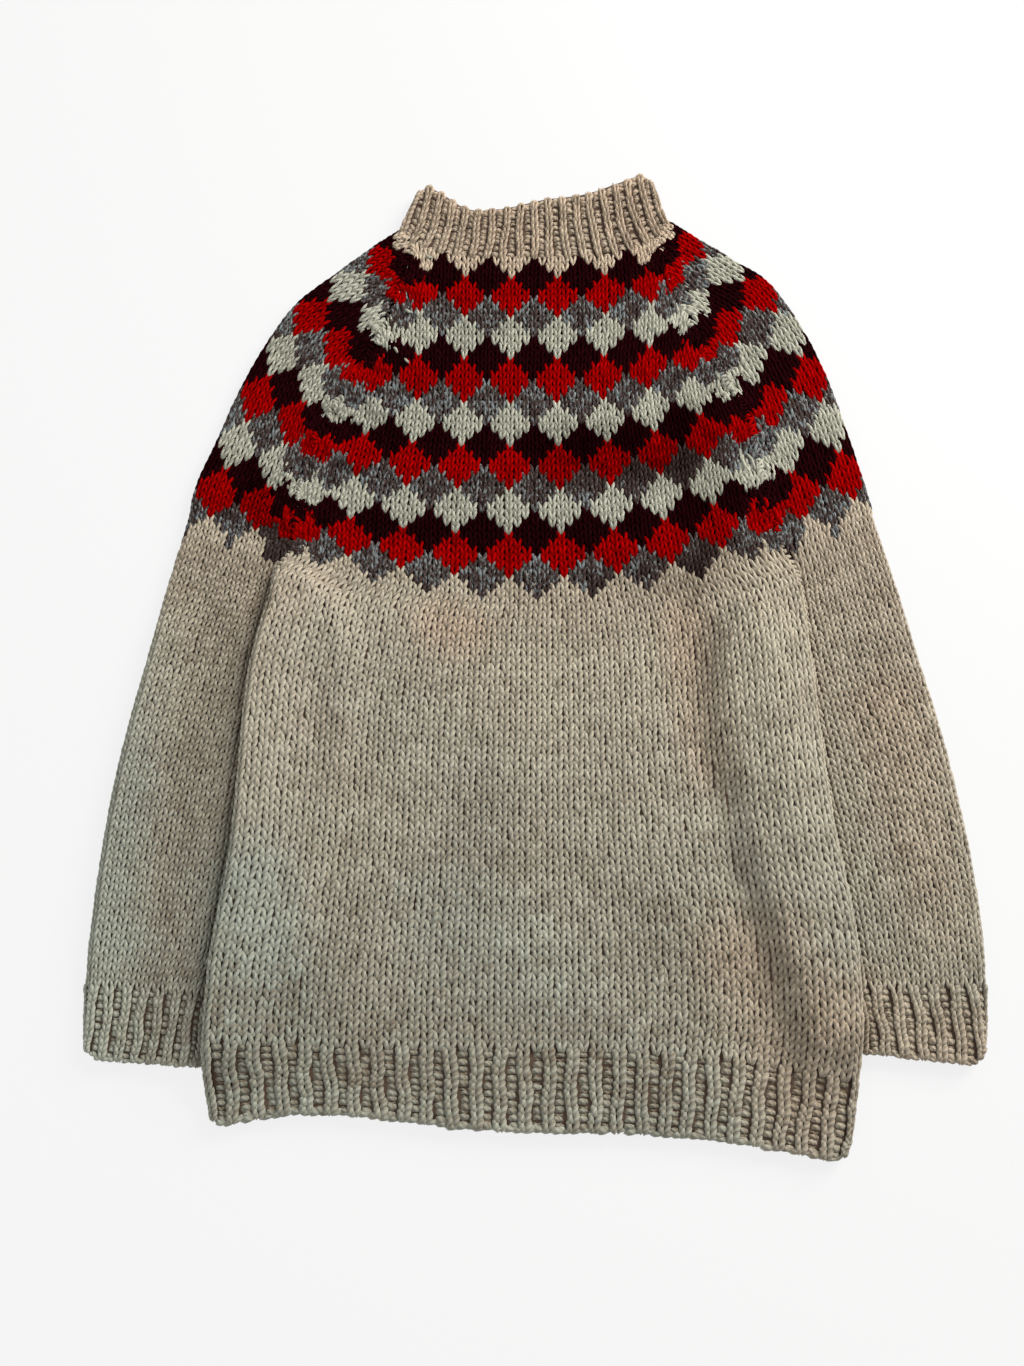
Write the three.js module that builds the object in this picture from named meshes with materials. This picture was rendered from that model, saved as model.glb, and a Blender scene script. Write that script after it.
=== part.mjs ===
// A hand-knitted wool jumper with a patterned round yoke, laid flat on its back.
// Millimetres, +X to the right as it lies, +Y towards the neck, +Z up, the table at Z = 0.

import * as THREE from "three";

// Driving sizes of the cloth
const WALL = 4.0; // thickness of the bulky knit
const AIR = 1.0; // space left between two layers that lie on each other
const THICK = 2 * WALL + AIR; // a flat tube of the knit
const SEAM = 0.3; // gap where two pieces are joined
const ROW_SEAM = 0.4; // the same gap measured along Y, where a joint runs aslant
const FOLD = 7.0; // how far in from a folded edge the rounding reaches
const RIB_DEPTH = 1.5; // how deep the gaps of the ribbing lie

// How the body rides up over the sleeves that lie under its sides
const LIFT = THICK + 0.4;
const RAMP = 28.0;
const LIFT_TOP = { none: 55.0, full: 26.0 };
const LIFT_BOTTOM = { none: -335.0, full: -290.0 };

// Columns that the front and the back are divided into
const COLUMNS = 18;

// Counts of the knitting
const RIB_ROWS = 10;
const YOKE_BASE_ROW = 67;
const CUFF_ROWS = 10;
const SLEEVE_YOKE_ROW = 72;
const NECK_STITCHES = 38; // across the front
const YOKE_TOP_STITCHES = 28; // across the front, between the raglan lines
const HEM_RIBS = 27;
const CUFF_RIBS = 8;
const NECK_RIBS = 19;

// A table with named columns, a row for each section
function named(columns, rows) {
  return rows.map((row) => Object.fromEntries(columns.map((column, i) => [column, row[i]])));
}

// Rows of the body, counted up from the hem: heights at the left fold, the middle and the right fold
const BODY_ROWS = named(
  ["row", "leftY", "midX", "midY", "rightY", "leftBend", "rightBend", "round"],
  [
    [0, -352, 0, -358, -376.6, 1.6, 2.8, 1],
    [RIB_ROWS, -297, 0, -304, -326, 1.6, 2.6, 1],
    [24, -212, 0, -225, -232, 2.0, 2.4, 1],
    [39, -120, 0, -140, -131, 2.2, 2.4, 1],
    [53, -36, 1, -61, -37, 2.4, 2.3, 1],
    [61, 14, 1, -16, 14, 2.5, 2.2, 1],
    [63, 28, 1, -5, 28, 2.5, 2.2, 0.8],
    [65, 42, 2, 7, 42, 2.5, 2.2, 0.35],
    [YOKE_BASE_ROW, 55, 2, 18, 59, 2.5, 2.2, 0],
  ],
);

// The body's side folds, by height
const BODY_SIDES = named(
  ["y", "left", "right"],
  [
    [-380, -220, 209],
    [-352, -223, 215],
    [-311, -227, 221.5],
    [-243, -225.5, 223.5],
    [-209, -221, 220.5],
    [-167, -215.5, 214],
    [-123, -213, 209],
    [-38, -208.5, 203],
    [14, -197.5, 199.5],
    [28, -195, 197],
    [42, -191.5, 193.5],
    [55, -183, 187.5],
    [59, -182, 186],
  ],
);

// The sleeves' inner folds, by height; most of each lies under the body, which is lifted from
// the lift columns outwards
const SLEEVE_INSIDES = named(
  ["y", "left", "right", "liftLeft", "liftRight"],
  [
    [-320, -228.2, 221.8, -198, 196],
    [-290, -228.4, 223.8, -194, 194],
    [-272, -217, 216, -192, 192],
    [-245, -200, 200, -182, 183],
    [-200, -180, 182, -166, 168],
    [-130, -160, 163, -150, 152],
    [-60, -152, 152, -142, 142],
    [-20, -166, 168, -146, 148],
    [14, -188, 190, -160, 162],
    [28, -196, 198, -172, 174],
    [42, -192.5, 194.5, -180, 182],
    [55, -183, 187.5, -180, 182],
    [59, -182, 186, -180, 182],
  ],
);

// The sleeves' outer folds below the yoke, by height
const SLEEVE_OUTSIDES = named(
  ["y", "left", "right"],
  [
    [-312, -311.5, 308],
    [-300, -313, 310.5],
    [-261, -314, 313],
    [-237, -314, 314],
    [-203, -312.5, 313],
    [-161, -309.5, 309],
    [-118, -304.5, 303],
    [-74, -297, 295],
    [-29, -287.5, 284.5],
    [18, -278, 274],
    [78, -264, 259],
    [84, -262.5, 257.5],
  ],
);

// Rows of the sleeves, counted up from the cuff: heights at the outer fold and at the underarm
const SLEEVE_ROWS = named(
  ["row", "leftOutY", "leftInY", "rightOutY", "rightInY", "round"],
  [
    [0, -310, -316, -311, -311, 1],
    [CUFF_ROWS, -261, -268, -261, -263, 1],
    [21, -202, -210, -200, -206, 1],
    [32, -142, -152, -139, -148, 1],
    [43, -82, -97, -78, -93, 1],
    [54, -22, -38, -17, -36, 1],
    [64, 35, 14, 40, 14, 1],
    [67, 51, 28, 56, 28, 0.8],
    [69.5, 65, 42, 70, 42, 0.35],
    [SLEEVE_YOKE_ROW, 78, 55, 84, 59, 0],
  ],
);

// Rows of the yoke, counted up from its base: outer fold, raglan line and middle, for both sides
const YOKE_ROWS = named(
  [
    "row", "leftOutX", "leftOutY", "leftX", "leftY", "midX", "midY",
    "rightX", "rightY", "rightOutX", "rightOutY", "leftBend", "rightBend",
  ],
  [
    [0, -264, 78, -183, 55, 2, 18, 186, 59, 259, 84, 2.5, 2.2],
    [6, -259, 110, -181, 82, 1, 52, 179, 91, 251, 120, 2.8, 2.2],
    [12, -244, 149, -178, 113, 0, 87, 171, 129, 240, 163, 3.3, 2.2],
    [18, -229, 190, -167, 149, 0, 123, 165, 165, 228, 204, 3.6, 2.3],
    [24, -210, 229, -153, 176, 0, 158, 147, 198, 212, 242, 3.8, 2.4],
    [30, -189, 262, -135, 208, -1, 195, 133, 224, 189, 280, 4.0, 2.6],
    [36, -159, 288, -117, 244, 0, 232, 119, 256, 162, 300, 4.0, 3.0],
    [42, -130, 312, -105, 279, 0, 267, 107, 290, 130, 322, 4.0, 3.3],
    [48, -108, 328, -96, 314, 1, 301, 98, 318, 109, 337, 4.0, 3.6],
  ],
);

// The neck's top edge, from its left fold (-1) to its right fold (1)
const NECK_TOP = named(
  ["share", "x", "y"],
  [
    [-1, -96, 358],
    [-0.9, -86, 366],
    [-0.75, -72, 359],
    [-0.55, -52, 346],
    [-0.25, -23, 347],
    [0.08, 9, 355],
    [0.42, 42, 360],
    [0.74, 74, 372],
    [0.9, 89, 377],
    [1, 99, 369],
  ],
);

// Broad soft ridges in the upper layer of the body and of the sleeves, each along a line
const RIDGE = ["x0", "y0", "x1", "y1", "width", "height"];
const BODY_RIDGES = named(RIDGE, [
  [168, 6, 186, -150, 26, 2.2],
  [-176, -5, -184, -130, 26, 1.8],
  [-122, -150, -124, -290, 30, 1.6],
  [60, -40, 90, -210, 34, 1.4],
  [-30, -90, -20, -240, 40, 1.2],
  [-60, 120, 70, 132, 30, 1.0],
]);
const SLEEVE_RIDGES = named(RIDGE, [
  [-262, -10, -278, -190, 24, 1.6],
  [248, -10, 280, -200, 24, 1.8],
]);

function smooth(t) {
  const clamped = Math.min(1, Math.max(0, t));
  return clamped * clamped * (3 - 2 * clamped);
}

// Reads a table at a value of its first column, on smooth curves through its rows
function reader(table) {
  const key = Object.keys(table[0])[0];
  const columns = Object.keys(table[0]);
  const slope = (i, column) => {
    const a = table[Math.max(0, i - 1)];
    const b = table[Math.min(table.length - 1, i + 1)];
    return (b[column] - a[column]) / (b[key] - a[key]);
  };
  return (value) => {
    let i = 0;
    while (i < table.length - 2 && value > table[i + 1][key]) i += 1;
    const [a, b] = [table[i], table[i + 1]];
    const span = b[key] - a[key];
    const t = Math.min(1, Math.max(0, (value - a[key]) / span));
    const [t2, t3] = [t * t, t * t * t];
    const read = {};
    for (const column of columns) {
      read[column] =
        (2 * t3 - 3 * t2 + 1) * a[column] +
        (t3 - 2 * t2 + t) * span * slope(i, column) +
        (3 * t2 - 2 * t3) * b[column] +
        (t3 - t2) * span * slope(i + 1, column);
    }
    return read;
  };
}

const bodyRow = reader(BODY_ROWS);
const bodySide = reader(BODY_SIDES);
const sleeveInside = reader(SLEEVE_INSIDES);
const sleeveOutside = reader(SLEEVE_OUTSIDES);
const sleeveRow = reader(SLEEVE_ROWS);
const yokeRow = reader(YOKE_ROWS);
const neckTop = reader(NECK_TOP);

// How far the body is lifted by the sleeves under its sides
function lift(x, y) {
  const inside = sleeveInside(y);
  const left = smooth((inside.liftLeft + RAMP - x) / RAMP);
  const right = smooth((x - inside.liftRight + RAMP) / RAMP);
  const top = smooth((LIFT_TOP.none - y) / (LIFT_TOP.none - LIFT_TOP.full));
  const bottom = smooth((y - LIFT_BOTTOM.none) / (LIFT_BOTTOM.full - LIFT_BOTTOM.none));
  return LIFT * Math.max(left, right) * top * bottom;
}

// Height of the soft ridges over a flat layer
function relief(ridges, x, y) {
  let height = 0;
  for (const ridge of ridges) {
    const [dx, dy] = [ridge.x1 - ridge.x0, ridge.y1 - ridge.y0];
    const along = ((x - ridge.x0) * dx + (y - ridge.y0) * dy) / (dx * dx + dy * dy);
    const t = Math.min(1, Math.max(0, along));
    const away = Math.hypot(x - ridge.x0 - t * dx, y - ridge.y0 - t * dy) / ridge.width;
    if (away < 1) height += ridge.height * (1 - away * away) ** 2;
  }
  return height;
}

// A row across the body, as its two ends, its middle and how late each side bends
function bodyLine(row) {
  const r = bodyRow(row);
  return {
    left: [bodySide(r.leftY).left, r.leftY],
    mid: [r.midX, r.midY],
    right: [bodySide(r.rightY).right, r.rightY],
    bend: [r.leftBend, r.rightBend],
    round: r.round,
  };
}

// A row across the yoke between the raglan lines
function yokeLine(row) {
  const r = yokeRow(row);
  return {
    left: [r.leftX + SEAM / 2, r.leftY],
    mid: [r.midX, r.midY],
    right: [r.rightX - SEAM / 2, r.rightY],
    bend: [r.leftBend, r.rightBend],
    round: 0,
  };
}

// A point of such a row at u, from -1 at its left end to 1 at its right end
function onLine(line, u) {
  const end = u < 0 ? line.left : line.right;
  const bend = u < 0 ? line.bend[0] : line.bend[1];
  const reach = Math.abs(u);
  return [
    line.mid[0] + (end[0] - line.mid[0]) * reach,
    line.mid[1] + (end[1] - line.mid[1]) * reach ** bend,
  ];
}

// Stations across a panel: some in each rounded edge, the others shared out between them
const EDGE_STATIONS = [0, 0.25 * FOLD];

function stations(inner) {
  return [
    ...EDGE_STATIONS.map((s) => ({ side: -1, s, raise: 1 })),
    ...inner,
    ...EDGE_STATIONS.map((s) => ({ side: 1, s, raise: 1 })).reverse(),
  ];
}

function evenStations(count) {
  const shares = Array.from({ length: count + 1 }, (_, i) => i / count);
  return stations(shares.map((share) => ({ side: 0, share, raise: 1 })));
}

// Each rib is a raised strip with steep sides; the rest of its width is the gap
const RIB_PROFILE = named(
  ["share", "raise"],
  [
    [0.0, 0],
    [0.16, 1],
    [0.64, 1],
    [0.8, 0],
  ],
);

function ribShares(count) {
  const shares = [];
  for (let rib = 0; rib < count; rib += 1) {
    for (const { share, raise } of RIB_PROFILE) {
      shares.push({ side: 0, share: (rib + share) / count, raise });
    }
  }
  shares.push({ side: 0, share: 1, raise: 1 });
  return shares;
}

// Drop of the outer face towards a rounded edge, and the inset of the inner face there
function edgeDrop(s, round) {
  const t = Math.min(1, s / FOLD);
  return round * (THICK / 2 - SEAM / 2) * (1 - Math.sqrt(1 - (1 - t) ** 2));
}

function inset(s, round) {
  return s >= FOLD ? s : round * WALL + (s * (FOLD - round * WALL)) / FOLD;
}

// The inner face bends to meet the outer one at the very edge
function innerDrop(s, round) {
  return s > 0 ? 0 : (round * (AIR - SEAM)) / 2;
}

// Where a station of a row lies, seen from above
function inPlan(line, station, isInner) {
  const length = line.right[0] - line.left[0];
  const s = isInner ? inset(station.s ?? 0, line.round) : (station.s ?? 0);
  let fromLeft = FOLD + (station.share ?? 0) * (length - 2 * FOLD);
  if (station.side < 0) fromLeft = s;
  if (station.side > 0) fromLeft = length - s;
  return line.at ? line.at(fromLeft / length) : onLine(line, (2 * fromLeft) / length - 1);
}

// The lift at a station; between the rounded edges it runs straight from column to column,
// so that front and back stay apart however finely either is divided
function liftAt(line, station) {
  if (station.side !== 0) return lift(...inPlan(line, station, false));
  const column = Math.min(COLUMNS - 1, Math.floor(station.share * COLUMNS));
  const [a, b] = [column, column + 1].map((k) => {
    return lift(...inPlan(line, { side: 0, share: k / COLUMNS }, false));
  });
  return a + (b - a) * (station.share * COLUMNS - column);
}

// One layer of a flat tube: `upper` is the front, otherwise the back that lies on the table
function layer(lines, across, upper, along = 0) {
  const place = (line, station, isInner) => {
    const [x, y] = inPlan(line, station, isInner);
    const base = liftAt(line, station);
    let drop = 0;
    if (station.side !== 0) drop = (isInner ? innerDrop : edgeDrop)(station.s, line.round);
    if (!upper) return new THREE.Vector3(x, y + along, base + (isInner ? WALL + drop : drop));
    const gap = isInner ? 0 : (1 - station.raise) * RIB_DEPTH;
    const top = (isInner ? WALL + AIR : THICK) - drop - gap;
    return new THREE.Vector3(x, y + along, base + relief(BODY_RIDGES, x, y) + top);
  };
  return {
    outer: lines.map((line) => across.map((station) => place(line, station, false))),
    inner: lines.map((line) => across.map((station) => place(line, station, true))),
  };
}

// A closed wall between an outer and an inner grid of points
function wall(name, { outer, inner }, material) {
  const rows = outer.length;
  const count = outer[0].length;
  const points = [...outer.flat(), ...inner.flat()];
  const out = (i, j) => j * count + i;
  const inn = (i, j) => rows * count + j * count + i;
  const faces = [];
  const quad = (a, b, c, d) => faces.push([a, b, c], [a, c, d]);
  for (let j = 0; j < rows - 1; j += 1) {
    for (let i = 0; i < count - 1; i += 1) {
      quad(out(i, j), out(i + 1, j), out(i + 1, j + 1), out(i, j + 1));
      quad(inn(i, j), inn(i, j + 1), inn(i + 1, j + 1), inn(i + 1, j));
    }
    quad(out(0, j), out(0, j + 1), inn(0, j + 1), inn(0, j));
    quad(out(count - 1, j), inn(count - 1, j), inn(count - 1, j + 1), out(count - 1, j + 1));
  }
  for (let i = 0; i < count - 1; i += 1) {
    quad(out(i, 0), inn(i, 0), inn(i + 1, 0), out(i + 1, 0));
    quad(out(i, rows - 1), out(i + 1, rows - 1), inn(i + 1, rows - 1), inn(i, rows - 1));
  }
  let volume = 0;
  for (const [a, b, c] of faces) {
    volume += points[a].dot(new THREE.Vector3().crossVectors(points[b], points[c]));
  }
  if (volume < 0) faces.forEach((face) => face.reverse());
  const geometry = new THREE.BufferGeometry().setFromPoints(points);
  geometry.setIndex(faces.flat());
  geometry.computeVertexNormals();
  const mesh = new THREE.Mesh(geometry, material);
  mesh.name = name;
  return mesh;
}

function wool(color) {
  return new THREE.MeshStandardMaterial({ color, roughness: 0.95, metalness: 0 });
}

const OATMEAL = "#9f967f";
const OATMEAL_RIB = "#8f8a7a";
const OATMEAL_NECK = "#a08b74";

// A table's own rows from one end to the other, with extra ones where it skips many
const MANY_ROWS = 9;

function steps(table, from, to, extra) {
  const key = Object.keys(table[0])[0];
  const values = table.map((row) => row[key]).filter((value) => value >= from && value <= to);
  return values.flatMap((value, i) => {
    if (i === values.length - 1) return [value];
    const more = values[i + 1] - value > MANY_ROWS ? extra : 0;
    const span = (values[i + 1] - value) / (more + 1);
    return Array.from({ length: more + 1 }, (_, k) => value + k * span);
  });
}

const YOKE_STEPS = YOKE_ROWS.map(({ row }) => row);

// Front and back, from the hem ribbing to the neck
const panelLines = [
  ...steps(BODY_ROWS, RIB_ROWS, YOKE_BASE_ROW, 1).slice(0, -1).map(bodyLine),
  ...YOKE_STEPS.map(yokeLine),
];
const front = wall("front", layer(panelLines, evenStations(COLUMNS), true), wool(OATMEAL));
const back = wall("back", layer(panelLines, evenStations(COLUMNS), false), wool(OATMEAL));

// The hem's ribbing: raised ribs in front, plain where it lies on the table
const HEM_STEPS = [0, RIB_ROWS / 2, RIB_ROWS];
const hemLines = HEM_STEPS.map(bodyLine);
const hemFront = wall(
  "hem_rib_front",
  layer(hemLines, stations(ribShares(HEM_RIBS)), true, -ROW_SEAM),
  wool(OATMEAL_RIB),
);
const hemBack = wall(
  "hem_rib_back",
  layer(hemLines, evenStations(COLUMNS), false, -ROW_SEAM),
  wool(OATMEAL_RIB),
);

// The neck's ribbing starts on the line that the yoke's last row makes, sleeves and front together
const SLEEVE_TOP_SHARE = (NECK_STITCHES - YOKE_TOP_STITCHES) / 2 / NECK_STITCHES;
const topRow = YOKE_ROWS[YOKE_ROWS.length - 1];
const neckSeam = [
  [0, topRow.leftOutX, topRow.leftOutY],
  ...evenStations(COLUMNS).map((station) => {
    const line = panelLines[panelLines.length - 1];
    const [x, y] = inPlan(line, station, false);
    const share = (x - line.left[0]) / (line.right[0] - line.left[0]);
    return [SLEEVE_TOP_SHARE + share * (1 - 2 * SLEEVE_TOP_SHARE), x, y];
  }),
  [1, topRow.rightOutX, topRow.rightOutY],
];

function onNeckSeam(share) {
  let i = 0;
  while (i < neckSeam.length - 2 && share > neckSeam[i + 1][0]) i += 1;
  const [[s0, x0, y0], [s1, x1, y1]] = [neckSeam[i], neckSeam[i + 1]];
  const t = Math.min(1, Math.max(0, (share - s0) / (s1 - s0)));
  return [x0 + (x1 - x0) * t, y0 + (y1 - y0) * t];
}

function neckLine(height) {
  const at = (share) => {
    const [x0, y0] = onNeckSeam(share);
    const { x, y } = neckTop(2 * share - 1);
    return [x0 + (x - x0) * height, y0 + ROW_SEAM + (y - y0 - ROW_SEAM) * height];
  };
  return { at, left: at(0), right: at(1), round: 1 };
}

const NECK_STEPS = [0, 0.35, 0.7, 1];
const neckLines = NECK_STEPS.map(neckLine);
const neckFront = wall(
  "neck_rib_front",
  layer(neckLines, stations(ribShares(NECK_RIBS)), true),
  wool(OATMEAL_NECK),
);
const neckBack = wall(
  "neck_rib_back",
  layer(neckLines, stations(ribShares(NECK_RIBS)), false),
  wool(OATMEAL_NECK),
);

// A row of a sleeve on one side: the outer fold and the inner edge
function sleeveLine(row, side) {
  const r = sleeveRow(row);
  const outY = r[`${side}OutY`];
  const inY = r[`${side}InY`];
  return {
    out: [sleeveOutside(outY)[side], outY],
    inn: [sleeveInside(inY)[side], inY],
    round: r.round,
  };
}

// The same in the yoke, where the inner edge is the raglan line
function sleeveYokeLine(row, side) {
  const r = yokeRow(row);
  const away = side === "left" ? -SEAM / 2 : SEAM / 2;
  return {
    out: [r[`${side}OutX`], r[`${side}OutY`]],
    inn: [r[`${side}X`] + away, r[`${side}Y`]],
    round: 0,
  };
}

// Stations round a flat sleeve: along the table layer, round the outer fold, back along the top
const ARC_STATIONS = 5;

function tubeStations(lower, upper) {
  const edge = (layerSide, list) => list.map((s) => ({ kind: "edge", layerSide, s, raise: 1 }));
  const arc = Array.from({ length: ARC_STATIONS }, (_, i) => ({
    kind: "arc",
    angle: (Math.PI * (i + 1)) / (ARC_STATIONS + 1),
    raise: 1,
  }));
  return [
    ...edge(-1, EDGE_STATIONS),
    ...lower.map((share) => ({ kind: "flat", layerSide: -1, share: 1 - share, raise: 1 })),
    ...arc,
    ...upper.map(({ share, raise }) => ({ kind: "flat", layerSide: 1, share, raise })),
    ...edge(1, EDGE_STATIONS).reverse(),
  ];
}

function tube(lines, around, along = 0) {
  const place = (line, station, isInner) => {
    const [dx, dy] = [line.inn[0] - line.out[0], line.inn[1] - line.out[1]];
    const width = Math.hypot(dx, dy);
    let fromFold = FOLD + (station.share ?? 0) * (width - 2 * FOLD);
    let z = station.layerSide < 0 ? 0 : THICK;
    if (isInner) z = station.layerSide < 0 ? WALL : WALL + AIR;
    if (station.kind === "edge") {
      fromFold = width - (isInner ? inset(station.s, line.round) : station.s);
      const drop = (isInner ? innerDrop : edgeDrop)(station.s, line.round);
      z -= station.layerSide * drop;
    }
    if (station.kind === "arc") {
      const reach = isInner ? FOLD - WALL : FOLD;
      const half = isInner ? AIR / 2 : THICK / 2;
      fromFold = FOLD - reach * Math.sin(station.angle);
      z = THICK / 2 - half * Math.cos(station.angle);
    }
    const x = line.out[0] + (dx * fromFold) / width;
    const y = line.out[1] + (dy * fromFold) / width;
    if (station.layerSide > 0) z += relief(SLEEVE_RIDGES, x, y);
    if (!isInner) z -= (1 - station.raise) * RIB_DEPTH;
    return new THREE.Vector3(x, y + along, z);
  };
  return {
    outer: lines.map((line) => around.map((station) => place(line, station, false))),
    inner: lines.map((line) => around.map((station) => place(line, station, true))),
  };
}

const LOWER_SHARES = [0, 0.25, 0.5, 0.75, 1];
const UPPER_SHARES = [0, 1 / 6, 2 / 6, 3 / 6, 4 / 6, 5 / 6, 1].map((share) => ({ share, raise: 1 }));
const CUFF_STEPS = [0, CUFF_ROWS / 2, CUFF_ROWS];

function sleeve(side) {
  const arm = steps(SLEEVE_ROWS, CUFF_ROWS, SLEEVE_YOKE_ROW, 1).slice(0, -1);
  const lines = [
    ...arm.map((row) => sleeveLine(row, side)),
    ...YOKE_STEPS.map((row) => sleeveYokeLine(row, side)),
  ];
  return wall(`sleeve_${side}`, tube(lines, tubeStations(LOWER_SHARES, UPPER_SHARES)), wool(OATMEAL));
}

function cuff(side) {
  const lines = CUFF_STEPS.map((row) => sleeveLine(row, side));
  const ribs = ribShares(CUFF_RIBS);
  const around = tubeStations(LOWER_SHARES, ribs);
  return wall(`cuff_${side}`, tube(lines, around, -ROW_SEAM), wool(OATMEAL_RIB));
}

const jumper = new THREE.Group();
jumper.add(front, back, hemFront, hemBack, neckFront, neckBack);
for (const side of ["left", "right"]) {
  jumper.add(sleeve(side), cuff(side));
}

export default jumper;
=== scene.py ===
# %% [markdown]
# # A patterned wool jumper, knitted stitch by stitch
#
# The real jumper is bulky two-ply wool: plain stocking stitch on the body and the sleeves, a round
# yoke of small diamonds in four colours, and one-by-one ribbing at the neck, the cuffs and the hem.
# It lies flat on its back. At this size every stitch shows, so the stitches are real geometry: each
# leg of each V is a small grain of yarn. A picture of knitting on a flat sheet would be quicker to
# make, but its outline would be too smooth and its gaps would hold no shadow.

# %% Load the frame
import math

import bpy
import numpy as np
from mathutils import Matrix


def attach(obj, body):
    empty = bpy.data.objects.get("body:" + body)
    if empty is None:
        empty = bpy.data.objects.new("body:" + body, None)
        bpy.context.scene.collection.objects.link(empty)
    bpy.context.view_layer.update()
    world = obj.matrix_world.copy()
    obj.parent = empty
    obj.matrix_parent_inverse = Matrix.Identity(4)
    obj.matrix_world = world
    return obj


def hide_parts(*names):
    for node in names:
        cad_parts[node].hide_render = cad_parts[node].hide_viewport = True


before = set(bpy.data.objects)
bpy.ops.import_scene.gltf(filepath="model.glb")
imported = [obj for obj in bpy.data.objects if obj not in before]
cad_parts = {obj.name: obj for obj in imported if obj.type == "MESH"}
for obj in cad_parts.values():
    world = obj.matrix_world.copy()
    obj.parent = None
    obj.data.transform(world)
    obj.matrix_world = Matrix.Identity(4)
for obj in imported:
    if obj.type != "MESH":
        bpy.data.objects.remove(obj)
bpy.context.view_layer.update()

MM = 0.001
random = np.random.default_rng(48)
print("nodes to dress:", sorted(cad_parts))

# %% [markdown]
# ## The camera, the table and the light
#
# The photograph was taken from above, leaning a little over the hem. The camera is set from that
# angle first, because the size of everything else is judged through it. The table is a wide pale
# plane that glows a little, as the white ground behind a cut-out does. A broad light from the upper
# right gives each fold one bright and one dark side, and a weak light from the left opens the dark.

# %% Camera
CAMERA_TILT = math.radians(12.0)
CAMERA_DISTANCE = 0.816
LOOK_AT = (-0.017, -0.045, 0.0)
LENS_MM = 29.0

bpy.ops.object.camera_add(
    location=(
        LOOK_AT[0],
        LOOK_AT[1] - CAMERA_DISTANCE * math.sin(CAMERA_TILT),
        LOOK_AT[2] + CAMERA_DISTANCE * math.cos(CAMERA_TILT),
    ),
    rotation=(CAMERA_TILT, 0.0, 0.0),
)
camera = bpy.context.object
camera.data.lens = LENS_MM
bpy.context.scene.camera = camera
bpy.context.scene.view_settings.view_transform = "Standard"
print("camera at", [round(v, 3) for v in camera.location])

# %% [markdown]
# ## Shader maths as plain expressions
#
# Node trees are easier to read when they are written as sums. One small class wraps a socket and
# turns + - * into Math nodes; colours go through Mix nodes, which keep them colours.

# %% Node helpers
class Value:
    """A socket that can be used in plain arithmetic."""

    def __init__(self, tree, socket):
        self.tree = tree
        self.socket = socket

    def math(self, operation, *others):
        values = [self.socket] + [getattr(o, "socket", o) for o in others]
        return self.tree.node("ShaderNodeMath", {"operation": operation}, dict(enumerate(values)))

    def __add__(self, other):
        return self.math("ADD", other)

    def __mul__(self, other):
        return self.math("MULTIPLY", other)

    def __sub__(self, other):
        return self.math("SUBTRACT", other)

    def __rsub__(self, other):
        return (self * -1.0) + other

    __radd__ = __add__
    __rmul__ = __mul__

    def sine(self):
        return self.math("SINE")

    def clamp(self):
        return self.math("MINIMUM", 1.0).math("MAXIMUM", 0.0)


class Tree:
    """The node tree of one material."""

    def __init__(self, name):
        self.material = bpy.data.materials.new(name)
        self.material.use_nodes = True
        self.nodes = self.material.node_tree.nodes
        self.links = self.material.node_tree.links
        self.nodes.clear()

    def node(self, kind, settings=None, inputs=None, output=0):
        made = self.nodes.new(kind)
        for key, setting in (settings or {}).items():
            setattr(made, key, setting)
        for key, value in (inputs or {}).items():
            value = getattr(value, "socket", value)
            if isinstance(value, bpy.types.NodeSocket):
                self.links.new(value, made.inputs[key])
            else:
                made.inputs[key].default_value = value
        return Value(self, made.outputs[output])

    def mix(self, factor, a, b):
        """A mix of two colours; a Mix node's colour inputs are numbers 6 and 7, its result 2."""
        return self.node("ShaderNodeMix", {"data_type": "RGBA"}, {0: factor, 6: a, 7: b}, 2)

    def noise(self, vector, scale, detail=2.0):
        inputs = {"Vector": vector, "Scale": scale, "Detail": detail}
        return self.node("ShaderNodeTexNoise", {"noise_dimensions": "3D"}, inputs)

    def finish(self, shader):
        end = self.nodes.new("ShaderNodeOutputMaterial")
        self.links.new(shader.socket, end.inputs["Surface"])
        return self.material


def rgb(red, green, blue):
    """A colour as it looks on a screen, from 0 to 255, in the linear light that shaders use."""
    parts = [v / 255.0 for v in (red, green, blue)]
    linear = [v / 12.92 if v <= 0.04045 else ((v + 0.055) / 1.055) ** 2.4 for v in parts]
    return (*linear, 1.0)

# %% Table and lights
FLOOR_SIZE = 40.0
FLOOR_DROP = 0.0004
WHITE = (1.0, 1.0, 1.0, 1.0)
FLOOR_COLOUR = rgb(98, 98, 98)
FLOOR_GLOW = 0.80
WORLD_GLOW = 0.40

bpy.ops.mesh.primitive_plane_add(size=FLOOR_SIZE, location=(0.0, 0.0, -FLOOR_DROP))
floor = bpy.context.object
floor.name = "table"
tree = Tree("pale_table")
pale = {
    "Base Color": FLOOR_COLOUR,
    "Roughness": 0.9,
    "Emission Color": WHITE,
    "Emission Strength": FLOOR_GLOW,
}
floor.data.materials.append(tree.finish(tree.node("ShaderNodeBsdfPrincipled", {}, pale)))

world = bpy.data.worlds.new("studio")
world.use_nodes = True
sky = world.node_tree.nodes["Background"].inputs
sky["Color"].default_value = WHITE
sky["Strength"].default_value = WORLD_GLOW
bpy.context.scene.world = world


def area_light(name, location, size, power, colour):
    """A square light that faces the middle of the jumper."""
    bpy.ops.object.light_add(type="AREA", location=location)
    light = bpy.context.object
    light.name = name
    light.data.size = size
    light.data.energy = power
    light.data.color = colour
    aim = -np.array(location)
    flat = math.hypot(aim[0], aim[1])
    light.rotation_euler = (math.atan2(flat, -aim[2]), 0.0, math.atan2(aim[1], aim[0]) - math.pi / 2)
    return light


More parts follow.
